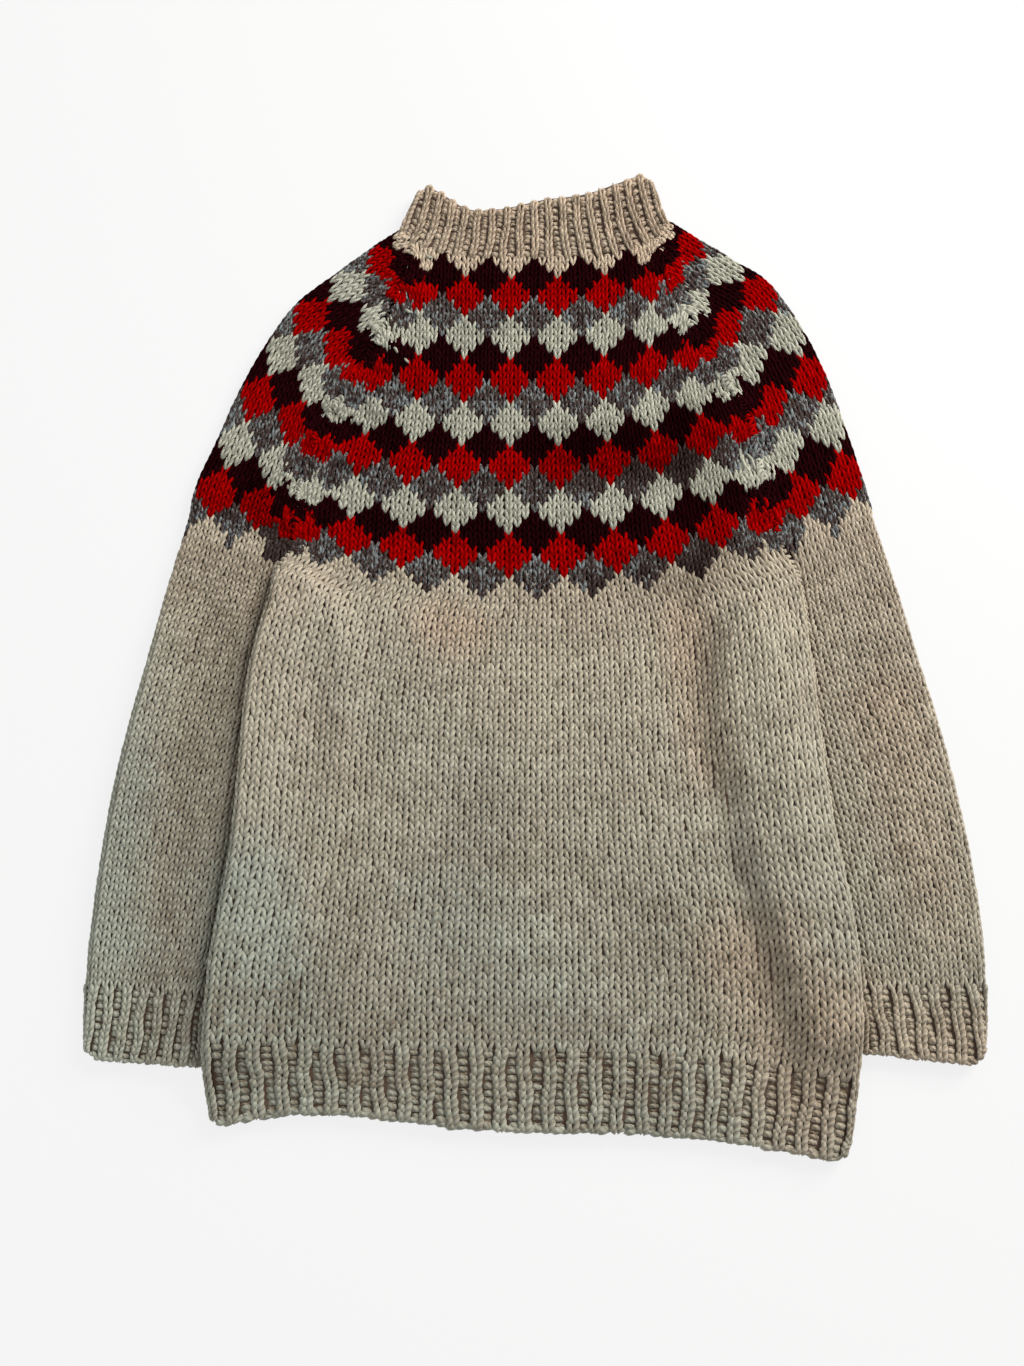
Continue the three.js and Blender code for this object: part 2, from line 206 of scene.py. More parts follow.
area_light("key", (1.2, 1.05, 0.85), 0.9, 45.0, (1.0, 0.965, 0.92))
area_light("fill", (-1.4, -0.4, 1.5), 1.4, 7.0, (0.9, 0.97, 1.0))
print("table and two lights")

# %% [markdown]
# ## The shape of the jumper in a few short tables
#
# The same measures that shaped the solids shape the cloth here: where each row of knitting starts,
# where it crosses the middle and where it ends. Everything between is a smooth curve through them.

# %% Driving sizes, in millimetres
WALL = 4.0
AIR = 1.0
THICK = 2 * WALL + AIR
SEAM = 0.3
FOLD = 7.0
CORNER_ROWS = 3.0
CORNER_REACH = 12.0
HEM_CORNERS = (4.0, 5.0)
CUFF_CORNER = 5.0
BODY_CLEAR = 0.4
LIFT = THICK + BODY_CLEAR
RAMP = 28.0
LIFT_TOP = (55.0, 26.0)
LIFT_BOTTOM = (-335.0, -290.0)
RIB_ROWS = 10
YOKE_BASE = 67
YOKE_ROWS_COUNT = 48
CUFF_ROWS = 10
SLEEVE_BASE = 72
HALF_FRONT = 27.5
NECK_ROWS = 8
NECK_STITCHES = 38
YOKE_TOP_STITCHES = 28
SLEEVE_TOP_SHARE = (NECK_STITCHES - YOKE_TOP_STITCHES) / 2 / NECK_STITCHES


def named(columns, rows):
    """A table with named columns, as one array for each column."""
    return dict(zip(columns.split(), np.array(rows, float).T))


BODY_ROWS = named(
    "row leftY midX midY rightY leftBend rightBend round",
    [
        (0, -352, 0, -358, -376.6, 1.6, 2.8, 1),
        (RIB_ROWS, -297, 0, -304, -326, 1.6, 2.6, 1),
        (24, -212, 0, -225, -232, 2.0, 2.4, 1),
        (39, -120, 0, -140, -131, 2.2, 2.4, 1),
        (53, -36, 1, -61, -37, 2.4, 2.3, 1),
        (61, 14, 1, -16, 14, 2.5, 2.2, 1),
        (63, 28, 1, -5, 28, 2.5, 2.2, 0.8),
        (65, 42, 2, 7, 42, 2.5, 2.2, 0.35),
        (YOKE_BASE, 55, 2, 18, 59, 2.5, 2.2, 0),
    ],
)
BODY_SIDES = named(
    "y left right",
    [
        (-380, -220, 209),
        (-352, -223, 215),
        (-311, -227, 221.5),
        (-243, -225.5, 223.5),
        (-209, -221, 220.5),
        (-167, -215.5, 214),
        (-123, -213, 209),
        (-38, -208.5, 203),
        (14, -197.5, 199.5),
        (28, -195, 197),
        (42, -191.5, 193.5),
        (55, -183, 187.5),
        (59, -182, 186),
    ],
)
SLEEVE_INSIDES = named(
    "y left right liftLeft liftRight",
    [
        (-320, -228.2, 221.8, -198, 196),
        (-290, -228.4, 223.8, -194, 194),
        (-272, -217, 216, -192, 192),
        (-245, -200, 200, -182, 183),
        (-200, -180, 182, -166, 168),
        (-130, -160, 163, -150, 152),
        (-60, -152, 152, -142, 142),
        (-20, -166, 168, -146, 148),
        (14, -188, 190, -160, 162),
        (28, -196, 198, -172, 174),
        (42, -192.5, 194.5, -180, 182),
        (55, -183, 187.5, -180, 182),
        (59, -182, 186, -180, 182),
    ],
)
SLEEVE_OUTSIDES = named(
    "y left right",
    [
        (-312, -311.5, 308),
        (-300, -313, 310.5),
        (-261, -314, 313),
        (-237, -314, 314),
        (-203, -312.5, 313),
        (-161, -309.5, 309),
        (-118, -304.5, 303),
        (-74, -297, 295),
        (-29, -287.5, 284.5),
        (18, -278, 274),
        (78, -264, 259),
        (84, -262.5, 257.5),
    ],
)
SLEEVE_ROWS = named(
    "row leftOutY leftInY rightOutY rightInY round",
    [
        (0, -308.5, -314, -313.5, -305, 1),
        (CUFF_ROWS, -261, -268, -261, -263, 1),
        (21, -202, -210, -200, -206, 1),
        (32, -142, -152, -139, -148, 1),
        (43, -82, -97, -78, -93, 1),
        (54, -22, -38, -17, -36, 1),
        (64, 35, 14, 40, 14, 1),
        (67, 51, 28, 56, 28, 0.8),
        (69.5, 65, 42, 70, 42, 0.35),
        (SLEEVE_BASE, 78, 55, 84, 59, 0),
    ],
)
YOKE_ROWS = named(
    "row leftOutX leftOutY leftX leftY midX midY rightX rightY rightOutX rightOutY"
    " leftBend rightBend half",
    [
        (0, -264, 78, -183, 55, 2, 18, 186, 59, 259, 84, 2.5, 2.2, HALF_FRONT),
        (6, -259, 110, -181, 82, 1, 52, 179, 91, 251, 120, 2.8, 2.2, 27.5),
        (12, -244, 149, -178, 113, 0, 87, 171, 129, 240, 163, 3.3, 2.2, 27.3),
        (18, -229, 190, -167, 149, 0, 123, 165, 165, 228, 204, 3.6, 2.3, 26.8),
        (24, -210, 229, -153, 176, 0, 158, 147, 198, 212, 242, 3.8, 2.4, 25.3),
        (30, -189, 262, -135, 208, -1, 195, 133, 224, 189, 280, 4.0, 2.6, 22.8),
        (36, -159, 288, -117, 244, 0, 232, 119, 256, 162, 300, 4.0, 3.0, 19.6),
        (42, -130, 312, -105, 279, 0, 267, 107, 290, 130, 322, 4.0, 3.3, 17.6),
        (48, -108, 328, -96, 314, 1, 301, 98, 318, 109, 337, 4.0, 3.6, 16.2),
    ],
)
NECK_TOP = named(
    "share x y",
    [
        (-1, -96, 358),
        (-0.9, -86, 366),
        (-0.75, -72, 359),
        (-0.55, -52, 346),
        (-0.25, -23, 347),
        (0.08, 9, 355),
        (0.42, 42, 360),
        (0.74, 74, 372),
        (0.9, 89, 377),
        (1, 99, 369),
    ],
)
HEM_WAVE = named(
    "share rise",
    [
        (-1, 0),
        (-0.95, 1),
        (-0.89, 5),
        (-0.8, 8),
        (-0.69, 10.5),
        (-0.5, 9.8),
        (-0.42, 8.6),
        (-0.32, 6.5),
        (-0.2, 3.8),
        (-0.1, 2.6),
        (0.3, 2.2),
        (0.52, 1.6),
        (0.63, 0.6),
        (0.9, 0),
        (1, 0),
    ],
)
print("tables for", len(BODY_ROWS["row"]) + len(YOKE_ROWS["row"]), "rows of the front")

# %% [markdown]
# ## Folds, ridges and puckers
#
# Wool this thick falls in broad, soft waves, and the decreases along the two raglan lines pull the
# yoke into short uneven puckers. Each is one row of a table: a line, how wide the wave is and how
# high it stands (below zero for a trough). They are placed one by one, none like its neighbour.
# A last table holds patches of painted light and shade, where the wool is painted a little paler or
# darker, and one more holds patches of a painted colour cast of the light, warmer or cooler.

# %% Tables of waves
RIDGE = "x0 y0 x1 y1 width height"
BODY_RIDGES = named(
    RIDGE,
    [
        (168, 6, 186, -150, 26, 2.2),
        (-176, -5, -184, -130, 26, 1.8),
        (-122, -150, -124, -290, 30, 1.6),
        (60, -40, 90, -210, 34, 1.4),
        (-30, -90, -20, -240, 40, 1.2),
        (-60, 120, 70, 132, 30, 1.0),
    ],
)
SLEEVE_RIDGES = named(
    RIDGE,
    [
        (-262, -10, -278, -190, 24, 1.6),
        (248, -10, 280, -200, 24, 1.8),
    ],
)
CREASES = named(
    RIDGE,
    [
        (110, 22, 138, -132, 24, -2.6),
        (138, -132, 166, -290, 22, -2.2),
        (166, -14, 198, -280, 38, 3.2),
        (-206, -10, -222, -300, 48, 4.8),
        (-180, -205, -188, -330, 24, -2.2),
        (-150, -30, -158, -150, 22, -1.0),
        (-128, 40, -60, 30, 18, 0.9),
        (40, -5, 108, 34, 20, 0.8),
        (-90, -20, -96, -120, 26, 0.8),
        (20, -120, 28, -280, 24, -0.6),
        (-60, -262, 60, -276, 20, 0.7),
        (-250, 20, -262, -120, 14, -0.8),
        (236, 40, 262, -110, 14, -0.8),
        (-288, -20, -310, -240, 62, 3.2),
        (-240, -150, -258, -250, 14, 0.9),
        (262, -170, 274, -250, 14, 0.8),
        (-220, 120, -190, 96, 12, -0.8),
        (214, 128, 190, 100, 12, -0.8),
    ],
)
PUCKERS = named(
    RIDGE,
    [
        (-108, 286, -84, 262, 9, 1.6),
        (-120, 262, -92, 246, 7, -1.5),
        (-126, 240, -98, 214, 9, 1.9),
        (-146, 214, -112, 196, 7, -1.6),
        (-150, 196, -112, 166, 10, 2.1),
        (-166, 170, -128, 148, 7, -1.7),
        (-172, 150, -132, 122, 10, 2.2),
        (-182, 122, -146, 104, 8, -1.8),
        (-186, 98, -152, 78, 9, 1.7),
        (-188, 72, -160, 62, 8, -1.4),
        (110, 296, 88, 276, 9, 1.4),
        (122, 272, 98, 258, 7, -1.4),
        (130, 250, 100, 236, 10, 1.9),
        (142, 234, 112, 216, 7, -1.7),
        (156, 218, 118, 200, 11, 2.2),
        (164, 192, 132, 180, 8, -1.6),
        (176, 172, 140, 152, 10, 2.0),
        (182, 142, 150, 132, 7, -1.8),
        (186, 118, 156, 106, 9, 1.8),
        (190, 86, 164, 78, 8, -1.5),
    ],
)
# Painted light and shade: each patch makes the stitches on it paler (above zero) or darker (below
# zero), standing in for how the light falls on the folds, the sleeves, the hem and the yoke.
LIGHT_AND_SHADE_PATCHES = named(
    "x0 y0 x1 y1 width tone",
    [
        (-184, -10, -190, -240, 34, 0.32),
        (-206, -270, -120, -300, 62, -0.36),
        (-60, -290, 90, -302, 50, -0.22),
        (-40, -160, 60, -226, 60, -0.20),
        (110, -250, 196, -300, 70, -0.46),
        (112, 20, 130, -110, 36, -0.36),
        (196, -40, 206, -180, 18, 0.16),
        (-290, -10, -304, -300, 40, 0.60),
        (-236, -210, -240, -300, 30, 0.25),
        (-150, 20, -104, 2, 42, 0.30),
        (262, -60, 290, -200, 40, -0.08),
        (300, -272, 300, -310, 40, -0.12),
        (-214, 102, -191, 60, 20, -0.70),
        (-198, 46, -203, 6, 14, -0.55),
        (124, 156, 130, 48, 34, -0.55),
        (-120, 78, 40, 66, 26, -0.22),
        (20, 134, 96, 128, 40, -0.80),
        (-134, -180, -130, -250, 34, -0.20),
        (60, 34, 190, 30, 30, -0.20),
        (158, 196, 176, 104, 14, 0.25),
    ],
)
# Painted colour cast of the light: each patch makes the oatmeal warmer (above zero) or cooler (below
# zero).
LIGHT_CAST_PATCHES = named(
    "x0 y0 x1 y1 width warmth",
    [
        (112, -4, 128, -110, 34, 0.32),
        (150, -246, 184, -340, 62, 0.62),
        (-70, 0, -52, -8, 30, 0.35),
        (-150, -20, -40, -120, 60, -0.14),
        (226, -285, 300, -310, 60, 0.58),
        (262, -70, 285, -220, 52, 0.32),
        (-290, -30, -302, -300, 56, -0.30),
        (-206, -190, -170, -340, 62, -0.30),
        (-60, -200, 0, -240, 70, -0.16),
    ],
)


def smooth(t):
    t = np.clip(t, 0.0, 1.0)
    return t * t * (3 - 2 * t)


def read(table, value):
    """Reads every column of a table at a value of its first one, on smooth curves."""
    keys = next(iter(table.values()))
    value = np.clip(np.asarray(value, float), keys[0], keys[-1])
    i = np.clip(np.searchsorted(keys, value, side="right") - 1, 0, len(keys) - 2)
    span = keys[i + 1] - keys[i]
    t = (value - keys[i]) / span
    before, after = np.r_[keys[0], keys[:-1]], np.r_[keys[1:], keys[-1]]
    found = {}
    for name, column in table.items():
        low, high = np.r_[column[0], column[:-1]], np.r_[column[1:], column[-1]]
        slope = (high - low) / (after - before)
        found[name] = (
            (2 * t**3 - 3 * t**2 + 1) * column[i]
            + (t**3 - 2 * t**2 + t) * span * slope[i]
            + (3 * t**2 - 2 * t**3) * column[i + 1]
            + (t**3 - t**2) * span * slope[i + 1]
        )
    return found


def waves(table, x, y):
    """Height of a table's ridges and troughs at points of the cloth."""
    height = np.zeros(np.broadcast(x, y).shape)
    for x0, y0, x1, y1, width, tall in zip(*table.values()):
        dx, dy = x1 - x0, y1 - y0
        t = np.clip(((x - x0) * dx + (y - y0) * dy) / (dx * dx + dy * dy), 0.0, 1.0)
        away = np.hypot(x - x0 - t * dx, y - y0 - t * dy) / width
        height = height + tall * np.where(away < 1, (1 - away**2) ** 2, 0.0)
    return height


def lift(x, y):
    """How far the sleeves under the body's sides lift it."""
    inside = read(SLEEVE_INSIDES, y)
    left = smooth((inside["liftLeft"] + RAMP - x) / RAMP)
    right = smooth((x - inside["liftRight"] + RAMP) / RAMP)
    top = smooth((LIFT_TOP[0] - y) / (LIFT_TOP[0] - LIFT_TOP[1]))
    bottom = smooth((y - LIFT_BOTTOM[0]) / (LIFT_BOTTOM[1] - LIFT_BOTTOM[0]))
    return LIFT * np.maximum(left, right) * top * bottom


def edge_drop(s, round_):
    """How far the outer face drops towards a folded edge, at a distance s from it."""
    t = np.clip(s / FOLD, 0.0, 1.0)
    return round_ * (THICK / 2 - SEAM / 2) * (1 - np.sqrt(np.maximum(0.0, 1 - (1 - t) ** 2)))


def corner(row, from_edge, height):
    """How far the lowest rows are worn up into a round corner, at a distance from the fold."""
    return height * smooth(1 - row / CORNER_ROWS) * smooth(1 - from_edge / CORNER_REACH)


print("waves:", sum(len(t["x0"]) for t in (BODY_RIDGES, SLEEVE_RIDGES, CREASES, PUCKERS)))
print("patches of tone and tint:", len(LIGHT_AND_SHADE_PATCHES["x0"]), len(LIGHT_CAST_PATCHES["x0"]))

# %% [markdown]
# ## Cloth as a grid of rows and columns
#
# A knitted panel is a grid: rows run across it and columns run along it. For each panel, a function
# gives the points along any row, and a Fabric then measures equal stitches along each row, so that
# "column 7, row 30" is a place in space. Stitches are laid out in those counts, as a knitter does.

# %% Rows of the panels
ROW_POINTS = 181
ACROSS = np.sin(np.linspace(-math.pi / 2, math.pi / 2, ROW_POINTS))[None, :]


def body_section(rows, upper):
    """Points along rows of the front (or of the back, which lies on the table)."""
    rows = np.asarray(rows, float)[:, None]
    body, yoke = read(BODY_ROWS, rows), read(YOKE_ROWS, rows - YOKE_BASE)
    in_yoke = rows > YOKE_BASE
    left_y = np.where(in_yoke, yoke["leftY"], body["leftY"])
    right_y = np.where(in_yoke, yoke["rightY"], body["rightY"])
    left_x = np.where(in_yoke, yoke["leftX"] + SEAM / 2, read(BODY_SIDES, body["leftY"])["left"])
    right_x = np.where(in_yoke, yoke["rightX"] - SEAM / 2, read(BODY_SIDES, body["rightY"])["right"])
    mid_x = np.where(in_yoke, yoke["midX"], body["midX"])
    mid_y = np.where(in_yoke, yoke["midY"], body["midY"])
    left_bend = np.where(in_yoke, yoke["leftBend"], body["leftBend"])
    right_bend = np.where(in_yoke, yoke["rightBend"], body["rightBend"])
    reach, on_left = np.abs(ACROSS), ACROSS < 0
    bend = np.where(on_left, left_bend, right_bend)
    x = mid_x + (np.where(on_left, left_x, right_x) - mid_x) * reach
    y = mid_y + (np.where(on_left, left_y, right_y) - mid_y) * reach**bend
    from_edge = (1 - reach) * (right_x - left_x) / 2
    y = y + corner(rows, from_edge, np.where(on_left, *HEM_CORNERS))
    y = y + read(HEM_WAVE, ACROSS)["rise"] * smooth(1 - rows / RIB_ROWS)
    drop = edge_drop(from_edge, np.where(in_yoke, 0.0, body["round"]))
    if not upper:
        return np.stack([x, y, lift(x, y) + drop], axis=-1)
    soft = waves(BODY_RIDGES, x, y) + waves(CREASES, x, y) + waves(PUCKERS, x, y)
    return np.stack([x, y, lift(x, y) + soft + THICK - drop], axis=-1)


def neck_section(rows, upper):
    """Points along rows of the neck's ribbing, counted up from the yoke."""
    height = np.asarray(rows, float)[:, None] / NECK_ROWS
    share = (ACROSS + 1) / 2
    top = {name: column[-1] for name, column in YOKE_ROWS.items()}
    middle = np.clip((share - SLEEVE_TOP_SHARE) / (1 - 2 * SLEEVE_TOP_SHARE), 0.0, 1.0)
    x = top["leftX"] + (top["rightX"] - top["leftX"]) * middle
    on_left = x < top["midX"]
    end_x = np.where(on_left, top["leftX"], top["rightX"])
    end_y = np.where(on_left, top["leftY"], top["rightY"])
    bend = np.where(on_left, top["leftBend"], top["rightBend"])
    reach = np.clip((x - top["midX"]) / (end_x - top["midX"]), 0.0, 1.0)
    y = top["midY"] + (end_y - top["midY"]) * reach**bend
    left = np.clip(1 - share / SLEEVE_TOP_SHARE, 0.0, 1.0)
    right = np.clip((share - 1) / SLEEVE_TOP_SHARE + 1, 0.0, 1.0)
    x = x + (top["leftOutX"] - top["leftX"]) * left + (top["rightOutX"] - top["rightX"]) * right
    y = y + (top["leftOutY"] - top["leftY"]) * left + (top["rightOutY"] - top["rightY"]) * right
    edge = read(NECK_TOP, ACROSS)
    x, y = x + (edge["x"] - x) * height, y + (edge["y"] - y) * height
    width = x[:, -1:] - x[:, :1]
    drop = edge_drop((1 - np.abs(ACROSS)) * width / 2, 1.0)
    z = THICK - drop if upper else drop + 0 * x
    return np.stack([x, y, z + 0 * x], axis=-1)


TURN_POINTS = 16
SLEEVE_POINTS = 90
TURN = np.linspace(0.0, 1.0, TURN_POINTS)[:-1]
ALONG = np.sin(np.linspace(0.0, math.pi / 2, SLEEVE_POINTS))


def sleeve_section(rows, side, upper):
    """Points of one layer of a sleeve, from its outer fold to its inner edge."""
    rows = np.asarray(rows, float)[:, None]
    arm, yoke = read(SLEEVE_ROWS, rows), read(YOKE_ROWS, rows - SLEEVE_BASE)
    in_yoke = rows > SLEEVE_BASE
    arm_out, arm_in = arm[f"{side}OutY"], arm[f"{side}InY"]
    away = -SEAM / 2 if side == "left" else SEAM / 2
    out_x = np.where(in_yoke, yoke[f"{side}OutX"], read(SLEEVE_OUTSIDES, arm_out)[side])
    out_y = np.where(in_yoke, yoke[f"{side}OutY"], arm_out)
    in_x = np.where(in_yoke, yoke[f"{side}X"] + away, read(SLEEVE_INSIDES, arm_in)[side])
    in_y = np.where(in_yoke, yoke[f"{side}Y"], arm_in)
    round_ = np.where(in_yoke, 0.0, arm["round"])
    width = np.hypot(in_x - out_x, in_y - out_y)
    turn = FOLD * (1 - np.cos(TURN * math.pi / 2))[None, :] + 0 * width
    flat = FOLD + (width - FOLD) * ALONG[None, :]
    from_fold = np.concatenate([turn, flat], axis=1)
    rise = np.concatenate([np.sin(TURN * math.pi / 2), np.ones(len(ALONG))])[None, :]
    x = out_x + (in_x - out_x) * from_fold / width
    y = out_y + (in_y - out_y) * from_fold / width
    y = y + corner(rows, from_fold, CUFF_CORNER)
    z = THICK / 2 * rise - edge_drop(width - from_fold, round_) * (from_fold >= FOLD)
    if not upper:
        return np.stack([x, y, THICK / 2 - z], axis=-1)
    soft = waves(SLEEVE_RIDGES, x, y) + waves(CREASES, x, y) * clear_of_body(x, y, side)
    soft = soft + waves(PUCKERS, x, y) * (y > LIFT_TOP[0])
    return np.stack([x, y, THICK / 2 + z + soft * smooth(from_fold / FOLD)], axis=-1)


def clear_of_body(x, y, side):
    """1 where a sleeve shows, 0 where the body's side lies on it."""
    edge = read(BODY_SIDES, y)[side]
    past = (edge - x) if side == "left" else (x - edge)
    return np.where(y > LIFT_TOP[0], 1.0, smooth(past / FOLD))


print("points along a body row:", ACROSS.shape[1], "along a sleeve row:", len(TURN) + len(ALONG))

# %% Fabric
HALF = 0.5


class Fabric:
    """A grid of points in millimetres, two for each row and two for each column."""

    def __init__(self, rows, columns, points):
        self.rows, self.columns, self.points = rows, columns, points
        along = np.gradient(points, axis=0)
        across = np.gradient(points, axis=1)
        normal = np.cross(across, along)
        length = np.linalg.norm(normal, axis=-1, keepdims=True)
        self.normals = normal / np.maximum(length, 1e-6)

    def at(self, column, row):
        """Places, and the cloth's outward direction, at columns and rows that need not be whole."""
        i = np.clip((row - self.rows[0]) / HALF, -1.0, len(self.rows))
        j = np.clip((column - self.columns[0]) / HALF, 0, len(self.columns) - 1.001)
        i0, j0 = np.clip(i.astype(int), 0, len(self.rows) - 2), j.astype(int)
        a, b = (i - i0)[..., None], (j - j0)[..., None]

        def blend(grid):
            low = grid[i0, j0] * (1 - b) + grid[i0, j0 + 1] * b
            high = grid[i0 + 1, j0] * (1 - b) + grid[i0 + 1, j0 + 1] * b
            return low * (1 - a) + high * a

        return blend(self.points), blend(self.normals)


def measured(section, places):
    """Takes points along each row of a section at given lengths from its zero, in millimetres."""
    out = np.empty((*places.shape, 3))
    for k, (line, wanted) in enumerate(zip(section["points"], places)):
        for axis in range(3):
            out[k, :, axis] = np.interp(wanted, section["length"][k], line[:, axis])
    return out


def lengths(points, zero):
    """Length along each row, counted from the point with index zero."""
    step = np.linalg.norm(np.diff(points, axis=1), axis=-1)
    total = np.concatenate([np.zeros((len(points), 1)), np.cumsum(step, axis=1)], axis=1)
    return total - total[:, zero : zero + 1]


def even_fabric(section_of, rows, half_count, upper):
    """A panel with its zero column in the middle and as many stitches as half_count on each side."""
    points = section_of(rows, upper)
    length = lengths(points, points.shape[1] // 2)
    most = math.ceil(half_count.max()) + 1
    columns = np.arange(-most, most + HALF, HALF)
    end = np.where(columns[None, :] < 0, -length[:, :1], length[:, -1:])
    places = columns[None, :] / half_count[:, None] * end
    return Fabric(rows, columns, measured({"points": points, "length": length}, places))


def tube_fabric(side, rows, pitch, last):
    """A sleeve: column zero on its outer fold, above it the upper layer, below it the lower one."""
    top = sleeve_section(rows, side, True)
    under = sleeve_section(rows, side, False)
    points = np.concatenate([under[:, :0:-1], top], axis=1)
    length = lengths(points, under.shape[1] - 1)
    columns = np.arange(-last, last + HALF, HALF)
    places = columns[None, :] * pitch[:, None]
    fabric = Fabric(rows, columns, measured({"points": points, "length": length}, places))
    if side == "right":
        fabric.normals = -fabric.normals
    fabric.reach = (length[:, -1] / pitch, -length[:, 0] / pitch)
    return fabric


def half_rows(low, high):
    return np.arange(low, high + HALF, HALF)


body_rows = half_rows(0, YOKE_BASE + YOKE_ROWS_COUNT)
half_count = np.where(
    body_rows > YOKE_BASE, read(YOKE_ROWS, body_rows - YOKE_BASE)["half"], HALF_FRONT
)
front = even_fabric(body_section, body_rows, half_count, True)
back = even_fabric(body_section, body_rows, half_count, False)
back.normals = -back.normals
neck_rows = half_rows(0, NECK_ROWS)
neck_half = np.full(len(neck_rows), NECK_STITCHES / 2)
neck_front = even_fabric(neck_section, neck_rows, neck_half, True)
neck_back = even_fabric(neck_section, neck_rows, neck_half, False)
neck_back.normals = -neck_back.normals

SLEEVE_PITCH = named(
    "row left right",
    [
        (0, 5.7, 6.6),
        (10, 5.8, 6.7),
        (16, 6.4, 7.1),
        (43, 6.8, 7.6),
        (60, 6.5, 7.2),
        (72, 6.1, 6.7),
        (96, 5.9, 6.9),
        (120, 6.0, 6.6),
    ],
)
sleeve_rows = half_rows(0, SLEEVE_BASE + YOKE_ROWS_COUNT)
sleeve_pitch = read(SLEEVE_PITCH, sleeve_rows)
SLEEVE_COLUMNS = 27
sleeves = {
    side: tube_fabric(side, sleeve_rows, sleeve_pitch[side], SLEEVE_COLUMNS)
    for side in ("left", "right")
}
print("front grid", front.points.shape, "sleeve grid", sleeves["left"].points.shape)

# %% [markdown]
# ## The diamonds
#
# The yoke is a common, old way of changing colour: every third row a new colour starts, one stitch
# wide at first, then three, then five, and the colour before it gives way in the same steps. Odd
# bands stand half a repeat to the side of even ones. That rule and the order of four yarns are the
# whole chart, so no drawing of it is needed.

# %% Chart
REPEAT = 6
BAND_ROWS = 3
YARN_ORDER = ("grey", "red", "black", "cream")
BANDS = 15


def yarn_at(column, row, spread=0):
    """Index of the band that a stitch of the yoke belongs to; a spread widens the diamonds."""
    band, step = np.divmod(row, BAND_ROWS)
    centre = np.where(band % 2 == 0, 0, REPEAT // 2)
    away = np.abs((column - centre + REPEAT // 2) % REPEAT - REPEAT // 2)
    return np.where(away <= step + spread, band, band - 1)


def yarn_names(column, row, spread=0):
    band = yarn_at(column, row, spread)
    names = np.array(YARN_ORDER)[band.astype(int) % len(YARN_ORDER)]
    return np.where((band < 0) | (band >= BANDS), "oatmeal", names)


MERGE_REACH = 4.5
MERGE_SPREAD = 2
CHART_DROP = {"left": 2, "right": 1}
DROPPED_ROWS = 14


def sleeve_chart_row(row, side):
    """Chart row of a sleeve's row: the lowest diamonds hang a row or two lower, on taller steps."""
    above, drop = row - SLEEVE_BASE, CHART_DROP[side]
    share = np.clip(1.0 - (above + drop) / DROPPED_ROWS, 0.0, 1.0)
    return np.floor(above + drop * share).astype(int)


def merging(away):
    """The spread at a distance from the raglan line, where decreases run the diamonds together."""
    return np.round(MERGE_SPREAD * np.clip(1.0 - away / MERGE_REACH, 0.0, 1.0))


chart_rows = np.arange(YOKE_ROWS_COUNT)
print("middle column:", "".join(name[0] for name in yarn_names(0 * chart_rows, chart_rows)))

# %% [markdown]
# ## One leg of a stitch
#
# A knit stitch shows as a V: two legs of yarn that rise out of the row below, bulge over it and
# dive under the row above. A leg is a soft grain with a pointed start and end and five sides,
# enough for yarn that is four millimetres thick. The ends sink into the cloth, so no gap shows.
# Thousands of legs are laid out at once with arrays and joined into one mesh for each yarn.

# %% Leg shapes
LEG = "along across height width"
PLAIN_LEG = named(
    LEG,
    [
        (-0.94, 0.08, -2.3, 0.0),
        (-0.62, 0.12, -1.25, 0.9),
        (0.0, 0.25, -0.9, 1.0),
        (0.58, 0.37, -1.4, 0.92),
        (1.04, 0.42, -2.8, 0.0),
    ],
)
RIB_LEG = named(
    LEG,
    [
        (-0.98, 0.12, -1.5, 0.0),
        (-0.56, 0.19, -0.7, 0.92),
        (0.0, 0.28, -0.45, 1.0),
        (0.56, 0.36, -0.9, 0.92),
        (1.0, 0.41, -1.9, 0.0),
    ],
)
PURL_BAR = named(
    LEG,
    [
        (-0.2, -0.62, -3.2, 0.0),
        (0.0, -0.34, -2.1, 0.84),
        (0.12, 0.0, -1.6, 1.0),
        (0.0, 0.34, -2.1, 0.84),
        (-0.2, 0.62, -3.2, 0.0),
    ],
)
RIB_CAP = named(
    LEG,
    [
        (-0.9, -0.46, -1.6, 0.0),
        (-0.28, -0.44, -0.6, 0.95),
        (0.04, -0.25, -0.5, 1.0),
        (0.14, 0.0, -0.5, 1.05),
        (0.04, 0.25, -0.5, 1.0),
        (-0.28, 0.44, -0.6, 0.95),
        (-0.9, 0.46, -1.6, 0.0),
    ],
)
UNDER_LEG = named(
    LEG,
    [
        (-0.74, 0.10, -2.6, 0.0),
        (-0.3, 0.18, -1.6, 1.0),
        (0.34, 0.32, -1.7, 1.0),
        (0.84, 0.39, -3.0, 0.0),
    ],
)


def wrap(path, normal, half_width, half_height, sides=5):
    """Rings of points round many short paths at once."""
    ahead = np.gradient(path, axis=1)
    ahead /= np.maximum(np.linalg.norm(ahead, axis=-1, keepdims=True), 1e-6)
    side = np.cross(ahead, normal)
    side /= np.maximum(np.linalg.norm(side, axis=-1, keepdims=True), 1e-6)
    turns = math.pi / 2 + 2 * math.pi * np.arange(sides) / sides
    wide, tall = half_width[..., None], half_height[..., None]
    rings = [path + side * wide * math.cos(a) + normal * tall * math.sin(a) for a in turns]
    return np.stack(rings, axis=2)


WANDER = {"along": 0.05, "across": 0.03, "height": 0.12, "width": 0.09}
PITCH_LIMITS = (4.6, 8.4)


